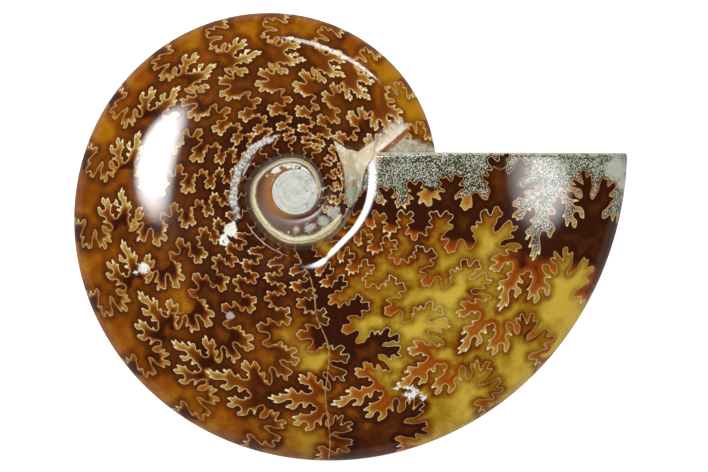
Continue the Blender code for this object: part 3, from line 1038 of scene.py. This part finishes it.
def cover_values(places, points):
    """Broken skin, and the distance to the cut and past the ends of the ridge's crest, in
    millimetres."""
    bare = plain_points(*places.T)
    middle = along_coil(BROKEN_EDGE, places[:, 0])
    off = np.abs(SECTION.distance_at(places[:, 1]) - middle) / BROKEN_WIDTH
    start, end = BROKEN_EDGE[0][0], BROKEN_EDGE[-1][0]
    angle = np.degrees(places[:, 0])
    ends = smooth_step(angle, start, start + BROKEN_ENDS) \
        * (1.0 - smooth_step(angle, end - BROKEN_ENDS, end))
    broken = np.clip(SPOT_FADE - off, 0.0, 1.0) * ends * (places[:, 1] > 0)
    to_cut = np.where(places[:, 0] > LAST_STRETCH, CUT_OFFSET - bare[:, 1],
                      FAR_FROM_LINES * MM) / MM
    past = ridge_place(points[:, 0], points[:, 1])[2] / MM
    return np.column_stack([broken, np.minimum(to_cut, FAR_FROM_LINES),
                            np.minimum(past, FAR_FROM_LINES)])


def crust_values(places, points):
    """How far inside the crust and the grey stone each point is, and how far on the
    outer side of the ridge's crest, in millimetres."""
    x, y = points[:, 0], points[:, 1]
    values = np.column_stack([depth_inside(CRUST_OUTLINE, x, y), ridge_place(x, y)[0],
                              depth_inside(STONE_OUTLINE, x, y)]) / MM
    values = np.clip(values, -FAR_FROM_LINES, FAR_FROM_LINES)
    values[places[:, 1] < 0] = (-FAR_FROM_LINES, FAR_FROM_LINES, -FAR_FROM_LINES)
    return values


def add_plug(bm):
    """The low round plug with broken edges, through the middle of the coil."""
    old = set(bm.verts)
    made = bmesh.ops.create_cone(bm, cap_ends=True, segments=PLUG_SIDES, radius1=PLUG_RADIUS,
                                 radius2=PLUG_RADIUS, depth=2.0 * PLUG_HALF_HEIGHT)
    edges = {edge for vert in made["verts"] for edge in vert.link_edges}
    rims = [edge for edge in edges
            if abs(edge.verts[0].co.z - edge.verts[1].co.z) < PLUG_EDGE]
    bmesh.ops.bevel(bm, geom=rims, offset=PLUG_EDGE, segments=PLUG_EDGE_STEPS, profile=0.5,
                    affect='EDGES', material=-1)
    bmesh.ops.translate(bm, verts=[vert for vert in bm.verts if vert not in old],
                        vec=PLUG_MIDDLE)


def place_matrix(mesh):
    """The coil's place: leaning, centred in the box of the part that it stands for."""
    low, high = (Vector(corner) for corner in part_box("ammonite"))
    lean = Matrix.Rotation(LEAN, 4, (math.cos(LEAN_LINE), math.sin(LEAN_LINE), 0.0))
    reach = np.array([tuple(lean @ vert.co) for vert in mesh.vertices])
    middle = (reach.min(axis=0) + reach.max(axis=0)) / 2
    target = (low + high) / 2
    return Matrix.Translation((target.x - middle[0], target.y - middle[1],
                               -reach[:, 2].min() - GRIND_DEPTH)) @ lean


def finish_mesh(mesh):
    """Add the plug, lay the shell down and grind it where it meets the floor."""
    bm = bmesh.new()
    bm.from_mesh(mesh)
    plug_start = len(bm.faces)
    add_plug(bm)
    part = bm.faces.layers.float["part"]
    coil = bm.verts.layers.float_vector["coil"]
    bm.faces.ensure_lookup_table()
    for face in bm.faces[plug_start:]:
        face[part] = PLUG_PART
        for vert in face.verts:
            vert[coil] = vert.co / MM
    place = place_matrix(mesh)
    bmesh.ops.transform(bm, matrix=place, verts=bm.verts[:])
    low = [face for face in bm.faces if min(vert.co.z for vert in face.verts) < 0.0]
    geom = {item for face in low for item in (face, *face.edges, *face.verts)}
    bmesh.ops.bisect_plane(bm, geom=list(geom), plane_co=(0.0, 0.0, 0.0),
                           plane_no=(0.0, 0.0, -1.0), clear_outer=True)
    rim = [edge for edge in bm.edges if edge.is_boundary]
    for face in bmesh.ops.holes_fill(bm, edges=rim)["faces"]:
        face[part] = GROUND_PART
    bmesh.ops.triangulate(bm, faces=[face for face in bm.faces if len(face.verts) > 4])
    bm.to_mesh(mesh)
    bm.free()
    return place


def read(items, name, width=1, kind=np.float32):
    """One value, or a row of them, of each item of a mesh."""
    values = np.empty(width * len(items), kind)
    items.foreach_get(name, values)
    return values.reshape(-1, width) if width > 1 else values


def set_normals(mesh, lean):
    """Give the rolled-up sheet the true normals of the spiral."""
    vert = read(mesh.loops, "vertex_index", 1, int)
    stored = read(mesh.attributes["smooth normal"].data, "vector", 3)
    stored = stored @ np.array(lean.to_3x3()).T
    part = read(mesh.attributes["part"].data, "value")
    sizes = read(mesh.polygons, "loop_total", 1, int)
    flat = read(mesh.polygons, "normal", 3)
    own = np.repeat(flat, sizes, axis=0)
    on_sheet = np.repeat(part == SHEET_PART, sizes)
    normals = np.where(on_sheet[:, None], stored[vert], own)
    mesh.shade_smooth()
    mesh.normals_split_custom_set(normals.tolist())
    mesh.attributes.remove(mesh.attributes["smooth normal"])


def colour(code):
    """Linear colour from a six-figure hexadecimal code."""
    parts = [int(code[n:n + 2], 16) / 255 for n in (0, 2, 4)]
    return tuple(part / 12.92 if part < 0.04045 else ((part + 0.055) / 1.055) ** 2.4
                 for part in parts) + (1.0,)


class Value:
    """A number in a node tree: arithmetic with it adds nodes."""

    def __init__(self, nodes, socket):
        self.nodes = nodes
        self.socket = socket

    def __add__(self, other):
        return self.nodes.math('ADD', self, other)

    def __sub__(self, other):
        return self.nodes.math('SUBTRACT', self, other)

    def __rsub__(self, other):
        return self.nodes.math('SUBTRACT', other, self)

    def __mul__(self, other):
        return self.nodes.math('MULTIPLY', self, other)

    def __truediv__(self, other):
        return self.nodes.math('DIVIDE', self, other)

    def __abs__(self):
        return self.nodes.math('ABSOLUTE', self)

    def above(self, other):
        return self.nodes.math('MAXIMUM', self, other)

    def step(self, low, high, bottom=0.0, top=1.0):
        """From bottom at low to top at high, level outside them."""
        return self.nodes.value("ShaderNodeMapRange", {
            "Value": self, "From Min": low, "From Max": high, "To Min": bottom,
            "To Max": top}, interpolation_type='SMOOTHSTEP')

    def patch(self, edge, low=-0.04, high=0.10):
        """Where the value is above a ragged edge, and above nothing at all."""
        return (self - edge).step(low, high) * self.step(0.0, 0.15)


class Nodes:
    """Adds nodes to a tree and links them. A colour is a look's name or a code."""

    def __init__(self, tree, looks=None):
        self.tree = tree
        self.looks = looks
        self.where = self.add("ShaderNodeTexCoord").outputs["Object"] if looks else None

    def add(self, kind, inputs=None, **settings):
        node = self.tree.nodes.new(kind)
        node.location = (180 * len(self.tree.nodes), 0)
        for name, value in settings.items():
            setattr(node, name, value)
        for name, value in (inputs or {}).items():
            self.put(value, node.inputs[name])
        return node

    def value(self, kind, inputs=None, **settings):
        return Value(self, self.add(kind, inputs, **settings).outputs[0])

    def put(self, value, socket):
        value = getattr(value, "socket", value)
        if isinstance(value, bpy.types.NodeSocket):
            self.tree.links.new(value, socket)
        else:
            socket.default_value = self.shade(value) if isinstance(value, str) else value

    def shade(self, name):
        known = getattr(self.looks, name, None)
        return colour(name) if known is None else tuple(known) + (1.0,)

    def attribute(self, name, output="Fac"):
        return Value(self, self.add("ShaderNodeAttribute",
                                    attribute_name=name).outputs[output])

    def vector(self, name):
        """The three parts of a vector attribute."""
        parts = self.add("ShaderNodeSeparateXYZ", {"Vector": self.attribute(name, "Vector")})
        return [Value(self, output) for output in parts.outputs]

    def colour_parts(self, socket):
        parts = self.add("ShaderNodeSeparateColor", {"Color": socket})
        return [Value(self, output) for output in parts.outputs]

    def math(self, operation, *values):
        return self.value("ShaderNodeMath", dict(enumerate(values)), operation=operation)

    def length(self, x, y):
        return self.math('SQRT', x * x + y * y)

    def mix(self, share, first, second):
        node = self.add("ShaderNodeMix", {0: share, 6: first, 7: second}, data_type='RGBA')
        return Value(self, node.outputs[2])

    def noise(self, scale, detail=2.0, roughness=0.5, vector=None):
        return self.value("ShaderNodeTexNoise", {
            "Vector": vector or self.where, "Scale": scale, "Detail": detail,
            "Roughness": roughness})

    def ramp(self, value, stops):
        node = self.add("ShaderNodeValToRGB", {"Fac": value})
        elements = node.color_ramp.elements
        while len(elements) < len(stops):
            elements.new(1.0)
        for element, (position, name) in zip(elements, stops):
            element.position = position
            element.color = self.shade(name)
        return Value(self, node.outputs["Color"])

    def bump(self, height, distance, **inputs):
        inputs = {"Height": height, "Strength": 1.0, "Distance": distance, **inputs}
        return self.value("ShaderNodeBump", inputs)


def chamber_colour(nodes, young, tone, halo):
    """Calcite of the chambers: olive yellow near the mouth, amber on the older turn."""
    tone += (nodes.noise(420.0, 5.0, 0.65) - 0.5) * 0.65
    tone += (nodes.noise(130.0) - 0.5) * 0.8
    tone -= halo * 0.38
    low = ((0.0, "dark"), (0.30, "brown"))
    amber = nodes.ramp(tone, low + ((0.66, "amber"), (1.0, "gold")))
    olive = nodes.ramp(tone, low + ((0.44, "amber"), (0.62, "yellow"), (0.92, "pale_yellow")))
    return nodes.mix(halo * 0.4, nodes.mix(young, amber, olive), "halo")


def fold_colour(nodes, turn, golden, reach, tip, line):
    """Inside the folds: dark at their roots, golden in their tips."""
    level = tip.step(0.20, 1.15, 0.0, 0.56)
    level += line.step(0.50, 0.0, 0.0, 0.30) * (tip * 0.6 + 0.4)
    level += reach.step(0.40, 1.0, 0.0, 0.26) + golden * 0.55
    oldest, older, young = (
        nodes.ramp(level, ((0.0, root), (0.42, middle), (1.0, "fold_tip")))
        for root, middle in (("fold_root", "fold_middle"), ("dark", "fold_middle"),
                             ("rust", "orange")))
    older = nodes.mix(turn.step(*MIDDLE_TURN), oldest, older)
    return nodes.mix(turn.step(*YOUNG_TURN), older, young)


def grain_colour(nodes):
    """Dark stone packed with pale grains."""
    grain = nodes.add("ShaderNodeTexVoronoi", {"Vector": nodes.where, "Scale": 4300.0})
    chance, other_chance, _ = nodes.colour_parts(grain.outputs["Color"])
    cloud = nodes.noise(260.0)
    there = (chance - cloud.step(0.35, 0.65, 0.48, 0.10)).step(-0.03, 0.03)
    pale = there * Value(nodes, grain.outputs["Distance"]).step(0.62, 0.38)
    return nodes.mix(pale, nodes.mix(cloud, "38301c", "55523e"),
                     nodes.mix(other_chance, "a3a78c", "dfe2d2"))


def stone_colour(nodes, coil, part):
    """Chalky grey and white stuff of the plug and the crust."""
    out = nodes.length(coil[0] - PLUG_MIDDLE[0] / MM, coil[1] - PLUG_MIDDLE[1] / MM)
    ring = nodes.value("ShaderNodeCombineXYZ", {"X": out + nodes.noise(350.0) * 1.6})
    level = nodes.value("ShaderNodeMix", {
        "Factor": nodes.math('COMPARE', part, PLUG_PART, 0.5),
        "A": nodes.noise(600.0, 4.0, 0.7), "B": nodes.noise(1.6, 3.0, 0.6, ring)})
    shade = nodes.mix(level.step(0.35, 0.65), "dcdfd1", "f5f6ee")
    shade = nodes.mix(nodes.noise(750.0, 5.0, 0.75).step(0.42, 0.36) * 0.75, shade, "stone")
    return nodes.mix(nodes.noise(300.0).step(0.55, 0.75) * 0.4, shade, "d8c99c")


def crust_colour(nodes, coil):
    """Cream crust, grey-green at its lower end, with rusty patches."""
    shade = nodes.mix(coil[1].step(-1.0, 6.0), "a7ad95", "crust")
    shade = nodes.mix(nodes.noise(500.0, 4.0, 0.65).step(0.50, 0.72), shade, "efe8dc")
    return nodes.mix(nodes.noise(340.0, 4.0, 0.7).step(0.52, 0.66) * 0.75, shade, "a2683c")


def band_colour(nodes, distance):
    """The pale band round the navel: a bright outer line, a groove and a chalky side, and
    painted shade at its inner edge and down the inner wall.
    """
    across = nodes.value("ShaderNodeMapRange", {
        "Value": distance, "From Min": LEDGE_INNER, "From Max": SEAM_AT})
    shade = nodes.ramp(across + (nodes.noise(380.0, 5.0, 0.7) - 0.5) * 0.8, BAND_STOPS_AND_WALL_SHADE)
    return nodes.mix(nodes.noise(700.0, 4.0, 0.7).step(0.5, 0.7) * 0.5, shade, "a09a78")


class ShellMaterial:
    """The shell's colours, laid over one another from the chambers to the crust."""

    def __init__(self, looks):
        self.material = bpy.data.materials.new("polished shell")
        self.material.use_nodes = True
        self.looks = looks
        self.nodes = nodes = Nodes(self.material.node_tree, looks)
        self.line = nodes.attribute("line")
        self.part = nodes.attribute("part")
        self.share, self.reach, self.tip = nodes.vector("fold")
        self.torn, self.to_cut, self.past_ridge = nodes.vector("cover")
        self.in_crust, self.ridge_side, self.in_stone = nodes.vector("crust")
        self.coil = nodes.vector("coil")
        self.turn, self.distance, _ = nodes.vector("place")
        spots = nodes.add("ShaderNodeAttribute", attribute_name="spots").outputs
        self.film_and_glow = Value(nodes, spots["Alpha"])
        self.white, self.mauve, gold = nodes.colour_parts(spots["Color"])
        self.golden = gold.step(0.3, 0.6)
        self.wander = nodes.noise(1500.0)
        self.ragged = (nodes.noise(900.0, 5.0, 0.75) - 0.5) * 2.2
        self.young = self.turn.step(*YOUNG_TURN)
        self.shade = None

    def cover(self, share, shade):
        """Lay a shade over what there is so far."""
        self.shade = self.nodes.mix(share, self.shade, shade)

    def paint_chambers(self):
        """Chambers and folds. In the young ones the folds to the mouth are clear."""
        nodes, young = self.nodes, self.young
        halo = self.line.step(self.looks.halo_width / MM, 0.0) \
            * nodes.noise(160.0).step(0.35, 0.65, 0.65, 1.0)
        clear = self.share.step(-0.10, -0.45) * young
        tone = nodes.attribute("tone") + self.reach.step(0.30, 0.90, 0.0, -0.30) * clear
        self.shade = chamber_colour(nodes, young, tone, halo * (clear * -0.25 + 1.0))
        close = (self.line / (young * -0.6 + 2.0)).step(1.0, 0.4)
        grown = self.reach.step(0.0, 0.42).above(self.golden)
        inside = abs(self.share).step(0.12, 0.50) * close * (1.0 - clear) \
            * (1.0 - young * (1.0 - grown))
        tip = self.tip * self.distance.step(0.25, 0.60, 0.55, 1.0)
        self.cover(inside, fold_colour(nodes, self.turn, self.golden, self.reach, tip,
                                       self.line))

    def paint_lines(self):
        """The stone that fills the last chamber, the sutures and the cracks."""
        nodes = self.nodes
        packed = nodes.attribute("filling") * self.line.step(0.15, 0.42) * (1.0 - self.golden)
        self.cover(packed, grain_colour(nodes))
        width = (self.wander * 0.9 + 0.55) * (self.looks.line_width / MM)
        ink = (self.line / width).step(1.3, 0.4) * (1.0 - packed)
        self.cover(ink * self.tip.step(0.2, 0.9, 0.62, 0.95),
                   nodes.mix(self.reach.step(0.25, 0.8), "line", "line_tip"))
        gap, strength, _ = nodes.vector("crack")
        self.cover(gap.step(0.18, 0.05) * strength * self.wander.step(0.3, 0.6), "b8935c")

    def paint_spots(self):
        """The broken skin, grey with painted glints, the spots, some of them painted soft
        highlights, and the amber floor of the navel.
        """
        nodes, ragged = self.nodes, self.ragged
        torn_edge = (nodes.noise(330.0, 5.0, 0.75) - 0.5) * 3.6
        self.broken = self.torn.patch(torn_edge, 0.40, 0.80)
        # Grey with white glints: a painted reflection on the broken skin
        broken_grey_with_glints = nodes.mix(nodes.noise(1800.0, 3.0, 0.6).step(0.4, 0.6), "a0948a", "efece8")
        self.cover(self.broken * 0.85, broken_grey_with_glints)
        self.stone = stone_colour(nodes, self.coil, self.part)
        edge = ragged + 0.62
        self.chalk = self.white.patch(edge)
        self.cover(self.chalk, self.stone)
        self.cover(self.mauve.patch(edge), "mauve")
        # Grey film, and soft highlights painted on the inner turn
        self.cover(self.film_and_glow.patch(edge, -0.35, 0.25) * 0.85, "c0c2b2")
        out = nodes.length(*self.coil[:2])
        self.inner = self.turn.step(0.03, 0.0) * out.step(12.5, 12.0)
        side = nodes.value("ShaderNodeMapRange", {
            "Value": self.coil[0], "From Min": 3.0, "From Max": -4.0}).step(0.0, 1.0)
        amber = (out + ragged * 0.5).step(6.9, 4.9) * self.inner * side \
            * ragged.step(-0.8, 0.5, 0.35, 0.8)
        self.cover(amber * (1.0 - self.chalk), "b97f42")

    def paint_crust(self):
        """The ridge, pale on its outer slope with a painted highlight, the grey stone, the band
        round the navel, the rim and the crust.
        """
        nodes, ragged, side = self.nodes, self.ragged, self.ridge_side
        away = ragged * 0.35
        # Pale crust on the ridge's outer slope, with a painted highlight laid over it
        crest = self.past_ridge.step(1.4, 0.1)
        pale_crust_and_glare = side.step(3.6, 0.5) * side.step(-0.15, 0.05) * crest
        self.cover(pale_crust_and_glare * ragged.step(-0.9, 0.2, 0.55, 0.95), "e6dccd")
        self.rusty = (self.in_stone + ragged).step(-0.4, 0.9)
        self.cover(self.rusty, nodes.mix(ragged.step(-0.4, 0.4), "8a8468", "c6c0aa"))
        behind_crest = side + away
        fracture = behind_crest.step(0.2, -0.2) * behind_crest.step(-1.1, -0.6)
        self.cover(fracture * crest, "95532c")
        self.wedge = (self.in_crust + away).step(-0.12, 0.12)
        self.band = self.distance.step(SEAM_AT + 0.0008, SEAM_AT - 0.0008) * (1.0 - self.wedge)
        self.cover(self.band, band_colour(nodes, self.distance))
        self.rim = (self.to_cut - (ragged * 1.3 + CUT_GREY_WIDTH / MM)).step(0.15, -0.15)
        self.cover(self.rim * 0.9, "rim")
        self.cover(self.wedge, crust_colour(nodes, self.coil))
        self.cover(self.part.step(1.4, 1.6), self.stone)

    def finish(self):
        """Link the colour, the roughness and the relief, and give the material."""
        nodes = self.nodes
        rough = self.chalk * 0.35 + self.looks.roughness
        wall = self.distance.step(SEAM_AT + 0.03, SEAM_AT + 0.01)
        for mask, value in ((self.inner, 0.26), (wall, 0.4), (self.wedge, 0.42),
                            (self.band, 0.45), (self.rim, 0.35), (self.broken, 0.2),
                            (self.rusty, 0.4), (self.part.step(1.4, 1.6), 0.5)):
            rough = rough.above(mask * value)
        waves = nodes.bump(nodes.noise(500.0, 3.0, 0.6), 0.004 * MM)
        height = self.broken * nodes.noise(900.0, 4.0, 0.7) \
            + self.wedge * (nodes.noise(500.0, 4.0, 0.6) * 0.7)
        lumps = nodes.bump(height, 0.5 * MM, Normal=waves)
        shader = self.material.node_tree.nodes["Principled BSDF"]
        for name, value in (("Base Color", self.shade), ("Roughness", rough), ("Normal", lumps)):
            nodes.put(value, shader.inputs[name])
        return self.material


def shell_material(looks):
    paint = ShellMaterial(looks)
    paint.paint_chambers()
    paint.paint_lines()
    paint.paint_spots()
    paint.paint_crust()
    return paint.finish()


def shade_property(name, code, description):
    return FloatVectorProperty(name=name, description=description, default=colour(code)[:3],
                               size=3, min=0.0, max=1.0, subtype='COLOR')


class AmmoniteLooks(bpy.types.PropertyGroup):
    """Colours of the shell and widths of its markings."""
    dark: shade_property("Dark", "361304", "Darkest parts of the chambers")
    brown: shade_property("Brown", "5c2b06", "Brown parts of the chambers")
    amber: shade_property("Amber", "8c4906", "Clear parts of the older chambers")
    gold: shade_property("Gold", "b0760e", "Clearest parts of the older chambers")
    yellow: shade_property("Yellow", "a07a16", "Clear parts of the younger chambers")
    pale_yellow: shade_property("Pale yellow", "ccab3e", "Clearest parts of the younger ones")
    halo: shade_property("Halo", "331404", "Chambers along a suture")
    fold_root: shade_property("Fold root", "6c350a", "Inside the folds, at their roots")
    rust: shade_property("Rust", "8c3e06", "Inside the younger folds, at their roots")
    orange: shade_property("Orange", "a85c12", "Inside the younger folds, half way")
    fold_middle: shade_property("Fold middle", "8f4a0c", "Inside the folds, half way")
    fold_tip: shade_property("Fold tip", "b39748", "Inside the folds, in their tips")
    line: shade_property("Suture", "c69c62", "The suture lines")
    line_tip: shade_property("Suture tip", "f0e2b8", "The suture lines round the tips")
    stone: shade_property("Stone", "6d766c", "Specks in the white stone")
    crust: shade_property("Crust", "d8c59c", "Crust beside the end of the last turn")
    rim: shade_property("Rim", "c0bfa4", "The broken edge along the cut")
    mauve: shade_property("Mauve", "b3a0a4", "The small mauve stone")
    line_width: FloatProperty(name="Suture width", description="Half the width of a suture",
                              default=0.068 * MM, unit='LENGTH')
    halo_width: FloatProperty(name="Halo width", description="Width of the dark halo",
                              default=1.8 * MM, unit='LENGTH')
    roughness: FloatProperty(name="Roughness", description="Roughness of the polished shell",
                             default=0.07, min=0.0, max=1.0)


class AmmoniteStudio(bpy.types.PropertyGroup):
    """Sizes of the studio."""
    camera_distance: FloatProperty(
        name="Camera distance", description="From the middle of the coil to the camera",
        default=1.5, unit='LENGTH')
    floor_size: FloatProperty(name="Floor size", description="Half the side of the floor",
                              default=3.0, unit='LENGTH')
    light_strength: FloatProperty(name="Light strength", description="Strength of all lights",
                                  default=1.0, min=0.0)


class AMMONITE_OT_shell(bpy.types.Operator):
    """Build the polished shell"""
    bl_idname = "ammonite.shell"
    bl_label = "Shell"

    def execute(self, context):
        mesh = shell_mesh()
        place = finish_mesh(mesh)
        if not mesh.polygons:
            raise RuntimeError("The shell has no faces")
        set_normals(mesh, place)
        shell = bpy.data.objects.new("polished_ammonite", mesh)
        context.scene.collection.objects.link(shell)
        mesh.materials.append(shell_material(context.scene.ammonite_looks))
        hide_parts("ammonite")
        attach(shell, "root")
        context.scene["coil place"] = [v for row in place for v in row]
        return {'FINISHED'}


# The photo, in pixels, and where the middle of the coil is in it
PHOTO_SIZE = (708, 472)
COIL_IN_PHOTO = (293, 190)
PIXEL = 0.2006 * MM
SENSOR = 36.0

# Softboxes: turn round the coil, tilt from the camera's line, both of their middles,
# their width and height as seen from the shell and how much these vary from the core to
# the edge, all in degrees, and brightness
LIGHTS = (
    ("left softbox", 148.0, 22.5, 14.5, 16.0, 6.0, 28.0),
    ("right softbox", 348.5, 32.0, 8.0, 19.5, 13.0, 11.5),
    ("top strip", 64.0, 45.8, 31.0, 4.5, 2.0, 16.0),
)
LIGHT_LAYERS = 5
LIGHT_DISTANCE = 1.3
LAYER_GAP = 0.01

# The floor's and the world's brightness as seen directly and as mirrored in the polish,
# and the floor's shade in both
FLOOR_GLOW = (0.85, 0.10)
WORLD_GLOW = (0.33, 0.06)
WHITE = (1.0, 1.0, 1.0, 1.0)
PAPER_SHADES = ((0.60, 0.60, 0.60, 1.0), (0.25, 0.25, 0.22, 1.0))
PAPER_ROUGHNESS = 0.9
CAMERA_REACH = 20.0


class AMMONITE_OT_studio(bpy.types.Operator):
    """Set up the floor, the lights and the camera"""
    bl_idname = "ammonite.studio"
    bl_label = "Studio"

    def execute(self, context):
        scene = context.scene
        if "coil place" not in scene:
            raise RuntimeError("The shell comes first")
        place = Matrix([scene["coil place"][n:n + 4] for n in (0, 4, 8, 12)])
        sizes = scene.ammonite_studio
        self.add_floor(scene, sizes.floor_size)
        self.add_camera(scene, place, sizes.camera_distance)
        for light in LIGHTS:
            self.add_softbox(scene, place, sizes.light_strength, *light)
        world = bpy.data.worlds.new("studio")
        world.use_nodes = True
        background = world.node_tree.nodes["Background"]
        background.inputs["Color"].default_value = WHITE
        self.glow(world.node_tree, background.inputs["Strength"], *WORLD_GLOW)
        scene.world = world
        scene.view_settings.view_transform = 'Standard'
        return {'FINISHED'}

    def glow(self, tree, socket, seen, mirrored):
        """A strength as seen directly, and as mirrored in the polish."""
        nodes = Nodes(tree)
        ray = nodes.add("ShaderNodeLightPath").outputs["Is Glossy Ray"]
        nodes.put(nodes.math('MULTIPLY_ADD', ray, mirrored - seen, seen), socket)
        return nodes, ray

    def add_floor(self, scene, size):
        """A pale sheet of paper, which is darker in reflections."""
        bm = bmesh.new()
        bmesh.ops.create_grid(bm, x_segments=1, y_segments=1, size=size)
        mesh = bpy.data.meshes.new("floor")
        bm.to_mesh(mesh)
        bm.free()
        floor = bpy.data.objects.new("floor", mesh)
        scene.collection.objects.link(floor)
        paper = bpy.data.materials.new("paper")
        paper.use_nodes = True
        shader = paper.node_tree.nodes["Principled BSDF"]
        shader.inputs["Roughness"].default_value = PAPER_ROUGHNESS
        shader.inputs["Emission Color"].default_value = WHITE
        nodes, ray = self.glow(paper.node_tree, shader.inputs["Emission Strength"], *FLOOR_GLOW)
        nodes.put(nodes.mix(ray, *PAPER_SHADES), shader.inputs["Base Color"])
        mesh.materials.append(paper)

    def add_camera(self, scene, place, distance):
        """The camera on a line square to the coil, so far that the width is the photo's."""
        camera = bpy.data.cameras.new("camera")
        camera.sensor_width = SENSOR
        camera.lens = SENSOR * distance / (PHOTO_SIZE[0] * PIXEL)
        camera.clip_end = CAMERA_REACH
        holder = bpy.data.objects.new("camera", camera)
        right = (PHOTO_SIZE[0] / 2 - COIL_IN_PHOTO[0]) * PIXEL
        up = (COIL_IN_PHOTO[1] - PHOTO_SIZE[1] / 2) * PIXEL
        holder.matrix_world = place @ Matrix.Translation((right, up, distance))
        scene.collection.objects.link(holder)
        scene.camera = holder

    def add_softbox(self, scene, place, gain, name, turn, tilt, width, height, edge, strength):
        """Oval lamps over one another, so that the softbox fades out at its edge."""
        aim = Matrix.Rotation(math.radians(turn + 90.0), 4, 'Z') \
            @ Matrix.Rotation(math.radians(tilt), 4, 'X')
        for layer in range(LIGHT_LAYERS):
            distance = LIGHT_DISTANCE * (1.0 - LAYER_GAP * layer)
            grow = edge * (layer / (LIGHT_LAYERS - 1) - 0.5)
            wide = width + grow * min(1.0, width / height)
            high = height + grow * min(1.0, height / width)
            lamp = bpy.data.lights.new(name, 'AREA')
            lamp.shape = 'ELLIPSE'
            lamp.size = 2 * distance * math.tan(math.radians(wide) / 2)
            lamp.size_y = 2 * distance * math.tan(math.radians(high) / 2)
            lamp.energy = strength * gain / LIGHT_LAYERS \
                * math.pi ** 2 / 4 * lamp.size * lamp.size_y
            holder = bpy.data.objects.new(name, lamp)
            scene.collection.objects.link(holder)
            holder.matrix_world = place @ aim @ Matrix.Translation((0.0, 0.0, distance))


class AMMONITE_PT_panel(bpy.types.Panel):
    """Lists what the add-on builds"""
    bl_idname = "AMMONITE_PT_panel"
    bl_label = "Ammonite"
    bl_space_type = 'VIEW_3D'
    bl_region_type = 'UI'
    bl_category = "Ammonite"

    def draw(self, context):
        for operator in OPERATORS:
            self.layout.operator(operator.bl_idname)
        for group in (context.scene.ammonite_looks, context.scene.ammonite_studio):
            for name in group.bl_rna.properties.keys():
                if name not in ("rna_type", "name"):
                    self.layout.prop(group, name)


OPERATORS = (AMMONITE_OT_shell, AMMONITE_OT_studio)
CLASSES = (AmmoniteLooks, AmmoniteStudio) + OPERATORS + (AMMONITE_PT_panel,)


def register():
    for item in CLASSES:
        bpy.utils.register_class(item)
    bpy.types.Scene.ammonite_looks = PointerProperty(type=AmmoniteLooks)
    bpy.types.Scene.ammonite_studio = PointerProperty(type=AmmoniteStudio)


def unregister():
    del bpy.types.Scene.ammonite_studio
    del bpy.types.Scene.ammonite_looks
    for item in reversed(CLASSES):
        bpy.utils.unregister_class(item)


def main():
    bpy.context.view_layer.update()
    register()
    bpy.ops.ammonite.shell()
    bpy.ops.ammonite.studio()


if __name__ == "__main__":
    main()
